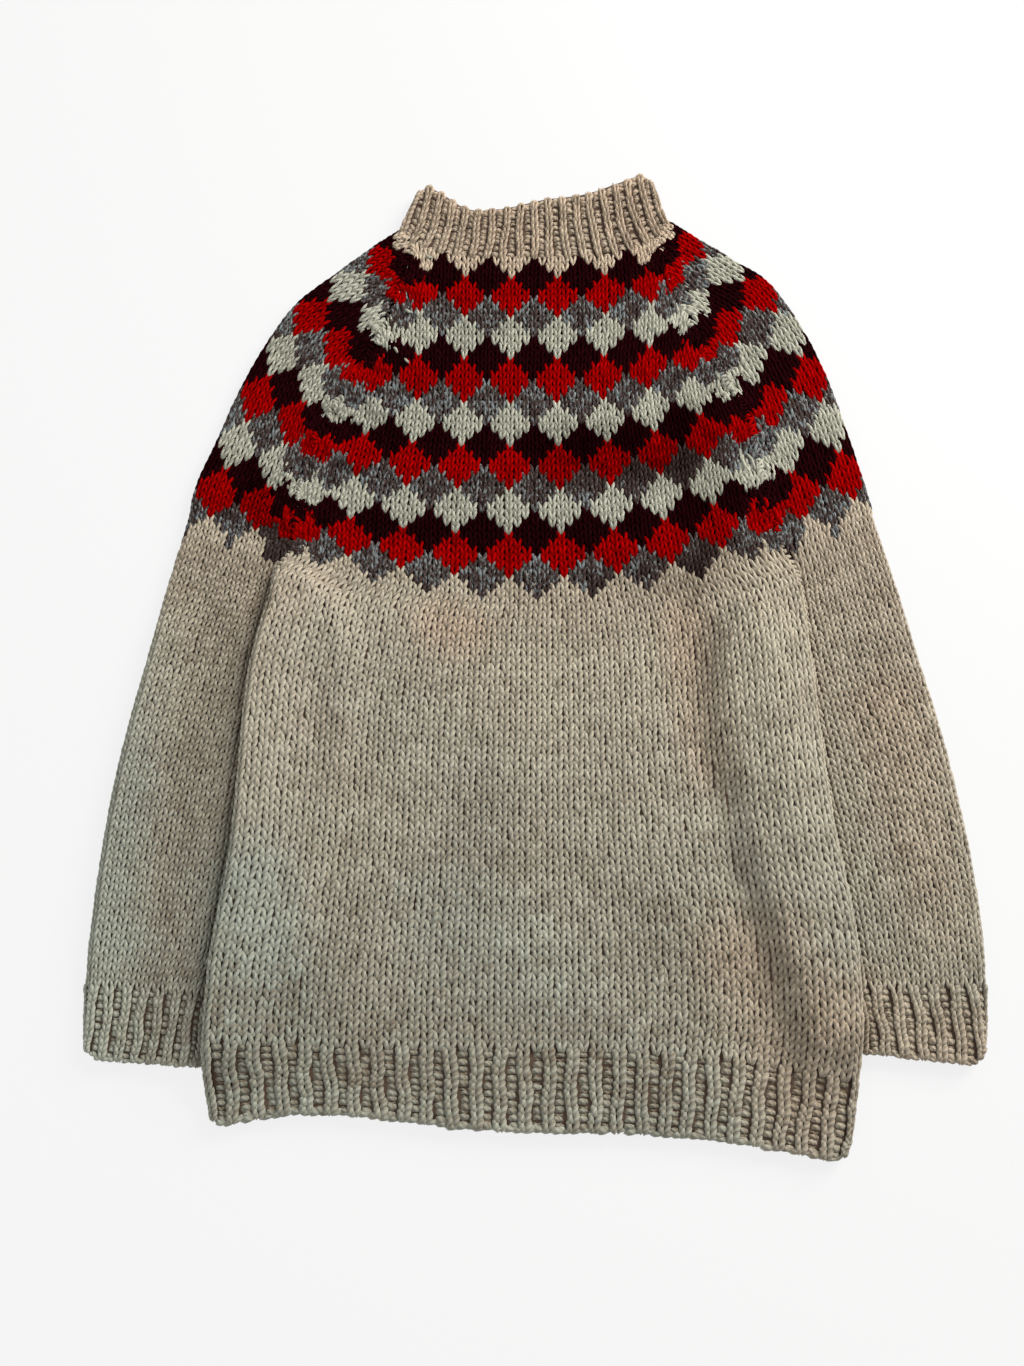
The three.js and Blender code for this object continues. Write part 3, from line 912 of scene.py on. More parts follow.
def grains(
    fabric, column, row, shape, mirror, width, height, shift=0.0, loose=1.0, sides=5, upright=True
):
    """One grain of yarn for each column and row, on a shape given in stitches and rows.

    Upright grains keep both legs of a V even where a row runs aslant; others follow the row.
    """
    count = len(column)
    loose = np.broadcast_to(loose, (count,))[:, None]
    wander = random.normal(0.0, 1.0, (count, 4)) * loose
    across = mirror * shape["across"][None, :] + WANDER["across"] * wander[:, 1:2]
    r = row[:, None] + shape["along"][None, :] + WANDER["along"] * wander[:, 2:3]
    one, _ = fabric.at(column[:, None] + HALF, row[:, None])
    other, _ = fabric.at(column[:, None] - HALF, row[:, None])
    if upright:
        place, normal = fabric.at(np.broadcast_to(column[:, None], r.shape), r)
        ahead = place[:, -1:] - place[:, :1]
        square = np.cross(ahead, normal)
        square /= np.maximum(np.linalg.norm(square, axis=-1, keepdims=True), 1e-6)
        step = (square * (one - other)).sum(axis=-1, keepdims=True)
        place = place + square * step * across[..., None]
    else:
        place, normal = fabric.at(column[:, None] + across, r)
    rise = shape["height"][None, :] + shift + WANDER["height"] * wander[:, 3:4]
    path = place + normal * rise[..., None]
    pitch = np.clip(np.linalg.norm(one - other, axis=-1), *PITCH_LIMITS)
    thick = shape["width"][None, :] * (1.0 + WANDER["width"] * wander[:, 0:1])
    return wrap(path, normal, thick * width * pitch, thick * height, sides)


CELL_MARGIN = 0.06


def leg_mesh(name, rings, tone):
    """Joins legs into one closed mesh, with the run of the yarn as a UV map."""
    count, stations, sides, _ = rings.shape
    middle = rings[:, 1:-1].reshape(count, -1, 3)
    tips = np.stack([rings[:, 0].mean(axis=1), rings[:, -1].mean(axis=1)], axis=1)
    points = np.concatenate([middle, tips], axis=1)
    per_leg = points.shape[1]
    inner = stations - 2
    first, last = per_leg - 2, per_leg - 1
    faces, spots = [], []
    for k in range(sides):
        after = (k + 1) % sides
        low, high = k / sides, (k + 1) / sides
        faces.append((first, k, after))
        spots.append(((0.0, (low + high) / 2), (0.25, low), (0.25, high)))
        for i in range(inner - 1):
            a, b = i * sides + k, i * sides + after
            u0, u1 = (i + 1) / (stations - 1), (i + 2) / (stations - 1)
            faces.append((a, b + sides, b))
            spots.append(((u0, low), (u1, high), (u0, high)))
            faces.append((a, a + sides, b + sides))
            spots.append(((u0, low), (u1, low), (u1, high)))
        base = (inner - 1) * sides
        faces.append((last, base + after, base + k))
        spots.append(((1.0, (low + high) / 2), (0.75, high), (0.75, low)))
    faces, spots = np.array(faces), np.array(spots)
    corners = (faces[None] + per_leg * np.arange(count)[:, None, None]).reshape(-1)
    mesh = bpy.data.meshes.new(name)
    mesh.vertices.add(count * per_leg)
    mesh.vertices.foreach_set("co", (points * MM).reshape(-1).astype(np.float32))
    mesh.loops.add(len(corners))
    mesh.loops.foreach_set("vertex_index", corners.astype(np.int32))
    mesh.polygons.add(len(corners) // 3)
    mesh.polygons.foreach_set("loop_start", np.arange(0, len(corners), 3, dtype=np.int32))
    mesh.polygons.foreach_set("use_smooth", np.ones(len(corners) // 3, bool))
    across = math.ceil(math.sqrt(count))
    cell = np.stack([np.arange(count) % across, np.arange(count) // across], axis=-1)
    in_cell = CELL_MARGIN + (1 - 2 * CELL_MARGIN) * spots[None]
    baked = (cell[:, None, None, :] + in_cell) / across
    run = np.broadcast_to(spots[None], (count, *spots.shape))
    for layer, uv in (("OFBake", baked), ("Yarn", run)):
        mesh.uv_layers.new(name=layer).data.foreach_set("uv", uv.reshape(-1).astype(np.float32))
    # Tone holds each stitch's random tone together with the painted light and shade of the patches.
    shade = mesh.attributes.new("Tone", "FLOAT", "POINT")
    shade.data.foreach_set("value", np.repeat(tone, per_leg).astype(np.float32))
    # The next attribute holds the painted colour cast of the light from the patches table.
    centre = middle.mean(axis=1)
    light_cast = mesh.attributes.new("Warmth", "FLOAT", "POINT")
    tint = np.repeat(waves(LIGHT_CAST_PATCHES, centre[:, 0], centre[:, 1]), per_leg)
    light_cast.data.foreach_set("value", tint.astype(np.float32))
    mesh.update()
    mesh.validate()
    return mesh


def add_object(name, mesh, material):
    """Puts a mesh in the scene as a piece of the jumper."""
    piece = bpy.data.objects.new(name, mesh)
    bpy.context.scene.collection.objects.link(piece)
    piece.data.materials.append(material)
    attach(piece, "root")
    return piece


print("rings in a knit leg:", len(PLAIN_LEG["along"]), "under the cloth:", len(UNDER_LEG["along"]))

# %% [markdown]
# ## The yarn
#
# Wool is matt and hairy. Its colour is never even: dye takes unevenly, and the grooves between the
# two twisted plies are painted darker, as painted shade. The ply lines follow the run of each leg,
# which its UV map holds; the broad changes of tone follow the place on the jumper, so they pass from
# stitch to stitch: some are uneven dye, others painted light, shade and colour casts of the light.

# %% Wool material
PLY_TURNS = 2.6
SHEEN = 0.25
FIBRE_SCALE = 900.0
PATCH_SCALE = 9.0
FLECK_SCALE = 640.0
FLECK_EDGE = 7.0
FLECK_BY_TONE = 0.26
# The oatmeal is painted cooler towards the hem and warmer towards the neck, a painted colour cast of
# the light; this is the height range of that mix, in metres.
HEIGHT_CAST_RANGE = {"From Min": -0.44, "From Max": 0.34}


def wool(name, colour, dark_and_groove_shade, sheen=SHEEN, shine=0.1, fleck=None, fleck_share=0.0, warm=None):
    """Twisted matt yarn: a main colour, a darker one for dark fibres and for painted shade in the
    grooves between the plies, and, for heather, pale flecks.
    """
    tree = Tree(name)
    place = tree.node("ShaderNodeTexCoord", {}, {}, "Object")
    run = tree.node("ShaderNodeUVMap", {"uv_map": "Yarn"}, {}, "UV")
    u = tree.node("ShaderNodeSeparateXYZ", {}, {"Vector": run}, "X")
    v = tree.node("ShaderNodeSeparateXYZ", {}, {"Vector": run}, "Y")
    tone = tree.node("ShaderNodeAttribute", {"attribute_name": "Tone"}, {}, "Fac")
    ply = ((u * PLY_TURNS + v * 2.0) * (2 * math.pi)).sine() * 0.5 + 0.5
    fibre = tree.noise(place, FIBRE_SCALE, 3.0)
    patch = tree.noise(place, PATCH_SCALE)
    colour_here = colour
    # Painted colour cast of the light: cooler low on the jumper, warmer high up, moved by the cast
    # patches.
    if warm:
        top = tree.node("ShaderNodeSeparateXYZ", {}, {"Vector": place}, "Y")
        rise = tree.node("ShaderNodeMapRange", {}, {"Value": top, **HEIGHT_CAST_RANGE})
        light_cast = tree.node("ShaderNodeAttribute", {"attribute_name": "Warmth"}, {}, "Fac")
        colour_here = tree.mix((rise + light_cast).clamp(), warm[0], warm[1])
        colour_here = tree.mix((patch - 0.3).clamp(), colour_here, warm[2])
    # Painted shade: the ply stripes darken the grooves between the plies. Fibre noise, broad noise
    # and the Tone attribute (random tone with painted light and shade) also move each spot towards
    # the darker colour.
    lit = (ply * 0.42 + fibre * 0.5 + tone * 0.5 + (patch - 0.5) * 0.35).clamp()
    mixed = tree.mix(lit, dark_and_groove_shade, colour_here)
    if fleck:
        drawn_out = {"Vector": place, "Scale": (1.0, 0.42, 1.0)}
        strands = tree.node("ShaderNodeMapping", {}, drawn_out)
        spots = tree.noise(strands, FLECK_SCALE, 3.0) + (tone - 0.5) * FLECK_BY_TONE
        mask = ((spots - (1.0 - fleck_share)) * FLECK_EDGE).clamp()
        mixed = tree.mix(mask, mixed, fleck)
    height = ply * 0.7 + fibre * 0.5
    bump = tree.node("ShaderNodeBump", {}, {"Strength": 0.6, "Distance": 0.0005, "Height": height})
    inputs = {"Base Color": mixed, "Roughness": 0.95, "Normal": bump}
    inputs.update({"Sheen Weight": sheen, "Sheen Roughness": 0.5, "Specular IOR Level": shine})
    return tree.finish(tree.node("ShaderNodeBsdfPrincipled", {}, inputs))


OATMEAL_COOL = rgb(169, 177, 165)
OATMEAL_WARM = rgb(203, 178, 154)
OATMEAL_PALE = rgb(199, 195, 173)
YARNS = {
    "oatmeal": wool(
        "oatmeal_wool",
        OATMEAL_PALE,
        rgb(112, 98, 80),
        warm=(OATMEAL_COOL, OATMEAL_WARM, OATMEAL_PALE),
    ),
    "grey": wool(
        "grey_wool", rgb(80, 66, 62), rgb(28, 14, 12), 0.04, 0.03, rgb(126, 134, 135), 0.5
    ),
    "red": wool("red_wool", rgb(164, 3, 3), rgb(86, 0, 0), 0.0, 0.0),
    "black": wool("black_wool", rgb(36, 7, 10), rgb(14, 1, 3), 0.0, 0.0),
    "cream": wool("cream_wool", rgb(184, 184, 168), rgb(102, 100, 86)),
}
print("yarns:", ", ".join(YARNS))

# %% [markdown]
# ## The cloth behind the stitches
#
# Between the legs one sees a little way into the cloth. A thin sheet lies there in each panel, on
# the solid's form and a stitch's depth below its face, painted dark as painted shade for the gaps.
# It starts as a plain grid that is laid over the panel's points, and a Solidify modifier gives it
# a wall.

# %% Shell material and makers
SHELL_DEPTH = 2.9
SHELL_WALL = 1.0
SHELL_LOWEST = 1.2
GROUND_GRAIN = 700.0


def ground_material():
    tree = Tree("cloth_gap_shade")
    place = tree.node("ShaderNodeTexCoord", {}, {}, "Object")
    yoke = tree.node("ShaderNodeAttribute", {"attribute_name": "Yoke"}, {}, "Fac")
    grain = tree.noise(place, GROUND_GRAIN, 3.0)
    # Painted shade: the sheet is dark brown under the plain knitting and near black under the yoke,
    # standing in for the shade in the gaps between the legs.
    plain = tree.mix(grain, rgb(88, 69, 58), rgb(116, 97, 83))
    dark = tree.mix(grain, rgb(24, 8, 9), rgb(44, 24, 22))
    bump = tree.node("ShaderNodeBump", {}, {"Strength": 0.6, "Distance": 0.0005, "Height": grain})
    inputs = {"Base Color": tree.mix(yoke, plain, dark), "Roughness": 0.98, "Normal": bump}
    inputs["Specular IOR Level"] = 0.05
    return tree.finish(tree.node("ShaderNodeBsdfPrincipled", {}, inputs))


GAP_SHADE = ground_material()


def shell(name, node, points, normals, yoke):
    """A thin sheet through a panel's points, sunk a stitch's depth into the cloth."""
    rows, columns = points.shape[:2]
    bpy.ops.object.select_all(action="DESELECT")
    bpy.ops.mesh.primitive_grid_add(x_subdivisions=columns - 1, y_subdivisions=rows - 1, size=1.0)
    piece = bpy.context.object
    piece.name = name
    sunk = points - normals * SHELL_DEPTH
    sunk[..., 2] = np.maximum(sunk[..., 2], SHELL_LOWEST)
    piece.data.vertices.foreach_set("co", (sunk * MM).reshape(-1).astype(np.float32))
    mark = piece.data.attributes.new("Yoke", "FLOAT", "POINT")
    mark.data.foreach_set("value", yoke.reshape(-1).astype(np.float32))
    piece.data.update()
    wall = piece.modifiers.new("wall", "SOLIDIFY")
    wall.thickness = SHELL_WALL * MM
    wall.offset = 0.0
    bpy.context.view_layer.objects.active = piece
    bpy.ops.object.modifier_apply(modifier="wall")
    bpy.ops.object.shade_smooth()
    piece.data.materials.append(GAP_SHADE)
    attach(piece, "root")
    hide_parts(node)
    return piece


def panel_points(fabric, rows, column_reach, columns):
    """Points of a fabric on an even grid, with each row's own reach to either side."""
    low, high = column_reach
    share = np.linspace(0.0, 1.0, columns)[None, :]
    reach_low = np.broadcast_to(low, rows.shape)[:, None]
    reach_high = np.broadcast_to(high, rows.shape)[:, None]
    c = reach_low + (reach_high - reach_low) * share
    return fabric.at(c, np.broadcast_to(rows[:, None], c.shape))


def half_at(rows):
    yoke = read(YOKE_ROWS, rows - YOKE_BASE)["half"]
    return np.where(rows > YOKE_BASE, yoke, HALF_FRONT)


# %% Shells of every panel
ROW_STEPS, COLUMN_STEPS = 64, 60
RIB_STEPS = 8
NECK_STEPS = 48
SLEEVE_STEPS = 56


def make_shell(name, node, fabric, rows, reach, columns, yoke_from=None):
    points, normals = panel_points(fabric, rows, reach, columns)
    in_yoke = np.zeros(len(rows)) if yoke_from is None else (rows > yoke_from).astype(float)
    yoke = np.broadcast_to(in_yoke[:, None], points.shape[:2])
    shell(name, node, points, normals, yoke)


panel_rows = np.linspace(RIB_ROWS, YOKE_BASE + YOKE_ROWS_COUNT, ROW_STEPS)
for name, fabric, node in (("front_cloth", front, "front"), ("back_cloth", back, "back")):
    half = half_at(panel_rows)
    make_shell(name, node, fabric, panel_rows, (-half, half), COLUMN_STEPS, YOKE_BASE)
hem_rows = np.linspace(0.1, RIB_ROWS, RIB_STEPS)
for name, fabric, node in (
    ("hem_front_cloth", front, "hem_rib_front"),
    ("hem_back_cloth", back, "hem_rib_back"),
):
    make_shell(name, node, fabric, hem_rows, (-HALF_FRONT, HALF_FRONT), COLUMN_STEPS)
neck_levels = np.linspace(0.0, NECK_ROWS - 0.1, RIB_STEPS)
neck_reach = (-NECK_STITCHES / 2, NECK_STITCHES / 2)
for name, fabric, node in (
    ("neck_front_cloth", neck_front, "neck_rib_front"),
    ("neck_back_cloth", neck_back, "neck_rib_back"),
):
    make_shell(name, node, fabric, neck_levels, neck_reach, NECK_STEPS)
arm_rows = np.linspace(CUFF_ROWS, SLEEVE_BASE + YOKE_ROWS_COUNT, ROW_STEPS)
cuff_rows = np.linspace(0.1, CUFF_ROWS, RIB_STEPS)
for side, fabric in sleeves.items():
    yoke_from = SLEEVE_BASE - CHART_DROP[side]
    for part, rows, from_row in (("sleeve", arm_rows, yoke_from), ("cuff", cuff_rows, None)):
        high = np.interp(rows, sleeve_rows, fabric.reach[0])
        low = np.interp(rows, sleeve_rows, fabric.reach[1])
        node = f"{part}_{side}"
        make_shell(f"{node}_cloth", node, fabric, rows, (-low, high), SLEEVE_STEPS, from_row)

# %% [markdown]
# ## Laying out the stitches
#
# Every panel's stitches are listed as columns and rows, sorted by yarn, and made into legs. Those
# under the body's sides never show, so they are left out.

# %% Stitch lists
LOWEST = 0.1
TONE_SPREAD = 0.18
ROW_TONE = 0.08
COLUMN_SWAY = 0.036
legs = {}


def keep_legs(key, rings, tone):
    """Collects legs under a piece's name and yarn; those that touch the table lie flat on it."""
    rings[..., 2] = np.maximum(rings[..., 2], LOWEST)
    legs.setdefault(key, []).append((rings, tone))


def tone_of(fabric, column, row):
    """Each stitch a little lighter or darker at random, with runs of rows that differ slightly, and
    patches of painted light and shade.
    """
    runs = ROW_TONE * np.sin(row * 0.9 + 0.5 * np.sin(row * 0.23))
    place, _ = fabric.at(column, row)
    patches = waves(LIGHT_AND_SHADE_PATCHES, place[..., 0], place[..., 1])
    return 0.5 + runs + patches + random.normal(0.0, TONE_SPREAD, len(column))


LEG_WIDTH, LEG_HEIGHT = 0.215, 1.3
RIB_WIDTH, RIB_HEIGHT = 0.27, 1.45
BAR_WIDTH, BAR_HEIGHT = 0.25, 1.3


def wobble(column, row):
    """Each column of stitches wanders a little to the sides on its way up."""
    return np.sin(row * 0.9 + column * 2.3) + 0.7 * np.sin(row * 0.37 + column * 5.1)


def knit(piece, fabric, column, row, yarn, loose=1.0, shade=0.0):
    """Both legs of each plain stitch, kept by yarn."""
    loose = np.broadcast_to(loose, (len(column),))
    for name in np.unique(yarn):
        chosen = yarn == name
        c, r = column[chosen].astype(float), row[chosen].astype(float)
        tone = tone_of(fabric, c, r) - shade
        c = c + COLUMN_SWAY * wobble(c, r)
        for mirror in (-1.0, 1.0):
            rings = grains(
                fabric, c, r + HALF, PLAIN_LEG, mirror, LEG_WIDTH, LEG_HEIGHT, loose=loose[chosen]
            )
            keep_legs((piece, str(name)), rings, tone)


def count_grid(columns, rows):
    c, r = np.meshgrid(columns, rows)
    return c.reshape(-1).astype(float), r.reshape(-1).astype(float)


SEAM_LOOSE = 2.6
SEAM_REACH = 3.0


def loose_near_seam(away):
    """Stitches close to the raglan line are more uneven."""
    return 1.0 + SEAM_LOOSE * np.clip(1 - away / SEAM_REACH, 0.0, 1.0)


CROWDED = 3.0
CROWDING = 0.55


def crowded(column, reach):
    """Where a stitch lies: near the raglan line the columns are crowded to about half their width."""
    past = np.maximum(np.abs(column) - (reach - CROWDED), 0.0)
    return np.sign(column) * (np.abs(column) - past * (1 - CROWDING))


print("a leg is", LEG_WIDTH, "of a stitch wide and", LEG_HEIGHT, "mm high")

# %% Front stitches
SIDE_CLEAR = 0.3
FRONT_COLUMNS = np.arange(-27, 28)
YOKE_COLUMNS = np.arange(-30, 31)
c, r = count_grid(FRONT_COLUMNS, np.arange(RIB_ROWS, YOKE_BASE))
knit("front_body", front, c, r, np.full(len(c), "oatmeal"))
print("front body stitches:", len(c))

c, r = count_grid(YOKE_COLUMNS, np.arange(YOKE_BASE, YOKE_BASE + YOKE_ROWS_COUNT))
reach = half_at(r + HALF)
places = crowded(c, reach)
kept = np.abs(places) <= reach - SIDE_CLEAR
c, r, places, reach = c[kept], r[kept], places[kept], reach[kept]
loose = loose_near_seam(reach - np.abs(places))
yarn = yarn_names(c, r - YOKE_BASE, merging(reach - np.abs(places)))
knit("front_yoke", front, places, r, yarn, loose)
print("front yoke stitches:", len(c))

# %% [markdown]
# ## The ribbing
#
# At the hem, the neck and the cuffs, knit and purl columns take turns. A knit column stands up as
# two cords of yarn. Between two of them the cloth sinks, and the purl column there shows as short
# bars across. The last row is bound with loops that lie over the edge.

# %% Ribbing
SWAY = 0.1
BAR_RISE, FILLING_RISE = 0.3, 0.8
FILLING_DEPTH = 1.2
BAR_LOOSE = 1.8


def rib(
    piece, fabric, columns, rows, first=0, shade=0.0, bar_shade=0.45, bar_width=BAR_WIDTH,
    filling=0.65, slim=1.0, lean=0.0, pale_end=0.0,
):
    """Knit columns stand up as two cords; bars of yarn cross the purl columns between them."""
    cord = dict(RIB_LEG, across=RIB_LEG["across"] * slim)
    c, r = count_grid(columns, rows)
    up = c % 2 == first
    risen = (r + HALF) / len(rows)
    c = c + SWAY * wobble(c, r) - lean * (1 - risen)
    tone = tone_of(fabric, c, r) + pale_end * risen**3
    for mirror in (-1.0, 1.0):
        rings = grains(fabric, c[up], r[up] + HALF, cord, mirror, RIB_WIDTH * slim, RIB_HEIGHT)
        keep_legs((piece, "oatmeal"), rings, tone[up] - shade)
    bars = ((BAR_RISE, 1.0, 1.0, 0.0), (FILLING_RISE, -1.0, filling, FILLING_DEPTH - filling))
    for rise, arch, size, deeper in bars:
        bar = dict(PURL_BAR, along=PURL_BAR["along"] * arch)
        wide, tall = bar_width * size, BAR_HEIGHT * size
        rings = grains(
            fabric, c[~up], r[~up] + rise, bar, 1.0, wide, tall, -deeper, BAR_LOOSE, upright=False
        )
        # Painted shade: the bars are painted darker than the cords by bar_shade, and the filling
        # bars, which lie deeper, darker still, as the sunk purl columns are in shade.
        keep_legs((piece, "oatmeal"), rings, tone[~up] - bar_shade - deeper)


EDGE_LOOP = named(
    LEG,
    [
        (-0.30, -0.72, -2.4, 0.0),
        (-0.16, -0.40, -1.5, 0.9),
        (0.0, 0.0, -1.0, 1.0),
        (0.16, 0.40, -1.5, 0.9),
        (0.30, 0.72, -2.4, 0.0),
    ],
)


EDGE_ROW = 0.02
EDGE_WIDTH, EDGE_HEIGHT, EDGE_SINK = 0.29, 1.7, -0.8


def edge_loops(piece, fabric, columns, row, shape=EDGE_LOOP, shade=0.0):
    """Loops of the first or last row, which bind the ribbing's edge."""
    c = np.asarray(columns, float)
    r = np.full(len(c), row)
    size = (EDGE_WIDTH, EDGE_HEIGHT, EDGE_SINK)
    rings = grains(fabric, c, r, shape, 1.0, *size, BAR_LOOSE, upright=False)
    keep_legs((piece, "oatmeal"), rings, tone_of(fabric, c, r) - shade)


# Painted shade: the hem's cords are painted darker than the body, where the light falls off towards
# the bottom.
rib("hem_front", front, FRONT_COLUMNS, np.arange(0, RIB_ROWS), first=1, shade=0.26)
edge_loops("hem_front", front, np.arange(-27, 28, 0.8), EDGE_ROW, shade=0.15)
NECK_PULL = 0.94
WIDE_BAR = 0.33
neck_columns = np.arange(-18, 19)
neck_pulled = NECK_PULL * np.arange(NECK_ROWS)
rib(
    "neck_front", neck_front, neck_columns, neck_pulled, shade=0.52, bar_shade=0.3,
    bar_width=WIDE_BAR, filling=0.9, slim=0.88, pale_end=0.2,
)
edge_loops("neck_front", neck_front, neck_columns[1::2], NECK_ROWS - 0.6, shade=0.2)
edge_loops("neck_front_edge", neck_front, neck_columns[::2], NECK_ROWS - 0.3, RIB_CAP, 0.1)
print("ribbing at the hem and the neck:", len(FRONT_COLUMNS), "and", len(neck_columns), "columns")

# %% [markdown]
# ## The sleeves
#
# A sleeve is one flattened tube, so its stitches run over the outer fold and on to the underside.
# Its upper part belongs to the yoke. Where the body's side lies on it, nothing is knitted.

# %% Sleeve stitches
FOLD_PHASE = {"left": 0.3, "right": 0.25}
CHART_SHIFT = {"left": 0, "right": 1}
# Painted shade: the sleeves' stitches are painted darker than the body's, the left sleeve most, where
# they lie low beside the body's sides.
SLEEVE_SHADE = {"left": 0.42, "right": 0.22}
CUFF_SHADE = 0.3
CUFF_LEAN = 1.0
CUFF_COLUMNS = np.arange(-2, 18)
SLEEVE_REACH = 25
HIDDEN = 14.0
TURNED_UNDER = -0.6

for side, fabric in sleeves.items():
    across = np.arange(-SLEEVE_REACH, SLEEVE_REACH + 1)
    c, r = count_grid(across, np.arange(CUFF_ROWS, SLEEVE_BASE + YOKE_ROWS_COUNT))
    top_reach = np.interp(r + HALF, sleeve_rows, fabric.reach[0])
    low_reach = np.interp(r + HALF, sleeve_rows, fabric.reach[1])
    places = c + FOLD_PHASE[side]
    places = np.where((r >= SLEEVE_BASE) & (c > 0), crowded(places, top_reach), places)
    inside = (places < top_reach - SIDE_CLEAR) & (places > -low_reach + SIDE_CLEAR)
    point, normal = fabric.at(places, r + HALF)
    edge = read(BODY_SIDES, point[:, 1])[side]
    past = (point[:, 0] - edge) if side == "left" else (edge - point[:, 0])
    hidden = (past > HIDDEN) & (point[:, 1] < LIFT_TOP[1]) & (places > 0)
    shown = inside & ~hidden & (normal[:, 2] > TURNED_UNDER)
    away = (top_reach - places)[shown]
    c, r, places = c[shown], r[shown], places[shown]
    chart_row = sleeve_chart_row(r, side)
    yarn = yarn_names(c + CHART_SHIFT[side], chart_row, merging(away))
    plain = chart_row < 0
    yarn[plain] = "oatmeal"
    shade = SLEEVE_SHADE[side]
    knit(f"sleeve_{side}_arm", fabric, places[plain], r[plain], yarn[plain], shade=shade)
    loose = loose_near_seam(away[~plain])
    knit(f"sleeve_{side}_yoke", fabric, places[~plain], r[~plain], yarn[~plain], loose)
    cuff = f"cuff_{side}"
    rib(
        cuff, fabric, CUFF_COLUMNS, np.arange(CUFF_ROWS), shade=CUFF_SHADE, bar_width=WIDE_BAR,
        lean=CUFF_LEAN,
    )
    edge_loops(cuff, fabric, np.arange(-2, 17, 0.9), EDGE_ROW, shade=CUFF_SHADE)
    print(side, "sleeve stitches:", len(c))

# %% [markdown]
# ## Where the yoke's panels meet
#
# The decreases run along the two raglan lines. There the knitting is crowded: short, uneven loops
# cross the line in the colours of either side. Each crossing loop starts on the body's last stitch
# and ends on the sleeve's, with a length and lean of its own.

# %% Crossing loops
CROSS_STEP = 0.5
CROSS_MARGIN = 0.3
CROSS_LEAN = (0.25, 0.5)
CROSS_FAR = (0.35, 1.0)
CROSS_BULGE = (-2.4, -0.9, 0.1, -0.9, -2.4)
UNDERARM_BULGE = (-2.4, -1.4, -0.9, -1.4, -2.4)
CROSS_WIDTH, CROSS_HEIGHT = 1.35, 1.3
UNDERARM_LOOPS = 16
UNDERARM_WIDTH = 1.7
UNDERARM_ROWS = {"body": 60.0, "sleeve": 62.0}


def loop_thickness(count):
    """The share of its full thickness at each of a loop's five rings, uneven from loop to loop."""
    return np.array([0.0, 0.9, 1.0, 0.9, 0.0])[None, :] * random.uniform(0.9, 1.1, (count, 1))


def crossing_path(front_place, sleeve_place, bulge):
    """Short paths from places on the body to places on a sleeve, bulging between them."""
    (on_body, up_body), (on_sleeve, up_sleeve) = front_place, sleeve_place
    share = np.linspace(0.0, 1.0, 5)[None, :, None]
    up = up_body[:, None] * (1 - share) + up_sleeve[:, None] * share
    bulge = np.array(bulge)[None, :, None]
    return on_body[:, None] * (1 - share) + on_sleeve[:, None] * share + up * bulge, up


def crossing_loops(side):
    sign = -1.0 if side == "left" else 1.0
    q = np.arange(CROSS_MARGIN, YOKE_ROWS_COUNT - CROSS_MARGIN, CROSS_STEP)
    half = half_at(YOKE_BASE + q)
    reach = np.interp(SLEEVE_BASE + q, sleeve_rows, sleeves[side].reach[0])
    lean = random.normal(*CROSS_LEAN, len(q))
    far = random.uniform(*CROSS_FAR, (2, len(q)))
    path, up = crossing_path(
        front.at(sign * (half - far[0]), YOKE_BASE + q - lean),
        sleeves[side].at(reach - far[1], SLEEVE_BASE + q + lean),
        CROSS_BULGE,
    )
    thick = loop_thickness(len(q))
    rings = wrap(path, up, thick * CROSS_WIDTH, thick * CROSS_HEIGHT)
    extra = CROWDED / CROWDING - CROWDED
    body_yarn = yarn_names(np.round(sign * (half + extra - 1.0)), np.floor(q), MERGE_SPREAD)
    column = np.round(reach + extra - 1.0) + CHART_SHIFT[side]
    sleeve_yarn = yarn_names(column, sleeve_chart_row(SLEEVE_BASE + q, side), MERGE_SPREAD)
    yarn = np.where(random.random(len(q)) < 0.5, body_yarn, sleeve_yarn)
    for name in np.unique(yarn):
        chosen = yarn == name
        tone = tone_of(front, sign * half[chosen], YOKE_BASE + q[chosen])
        keep_legs((f"raglan_{side}", str(name)), rings[chosen], tone)


def underarm_loops(side):
    """The few loops that join the body to the sleeve below the end of the raglan line."""
    sign = -1.0 if side == "left" else 1.0
    share = np.linspace(0.0, 1.0, UNDERARM_LOOPS)
    body_row = UNDERARM_ROWS["body"] + (YOKE_BASE - UNDERARM_ROWS["body"]) * share
    sleeve_row = UNDERARM_ROWS["sleeve"] + (SLEEVE_BASE - UNDERARM_ROWS["sleeve"]) * share
    reach = np.interp(sleeve_row, sleeve_rows, sleeves[side].reach[0])
    path, up = crossing_path(
        front.at(sign * (HALF_FRONT - 0.5 + 0 * share), body_row),
        sleeves[side].at(reach - 0.6, sleeve_row),
        UNDERARM_BULGE,
    )
    thick = loop_thickness(UNDERARM_LOOPS)
    rings = wrap(path, up, thick * UNDERARM_WIDTH, thick * CROSS_HEIGHT)
    keep_legs((f"raglan_{side}", "oatmeal"), rings, tone_of(front, 0 * share, body_row) - 0.2)


crossing_loops("left")
crossing_loops("right")
underarm_loops("left")
underarm_loops("right")
print("pieces that hold stitches so far:", len({piece for piece, _ in legs}))

# %% [markdown]
# ## Loose ends and lint
#
# A few ends of yarn show where the colours were changed, and two scraps of lint lie on the middle.
# Each is a short bent strand: where it starts and ends, how far it bows to the side, its thickness.

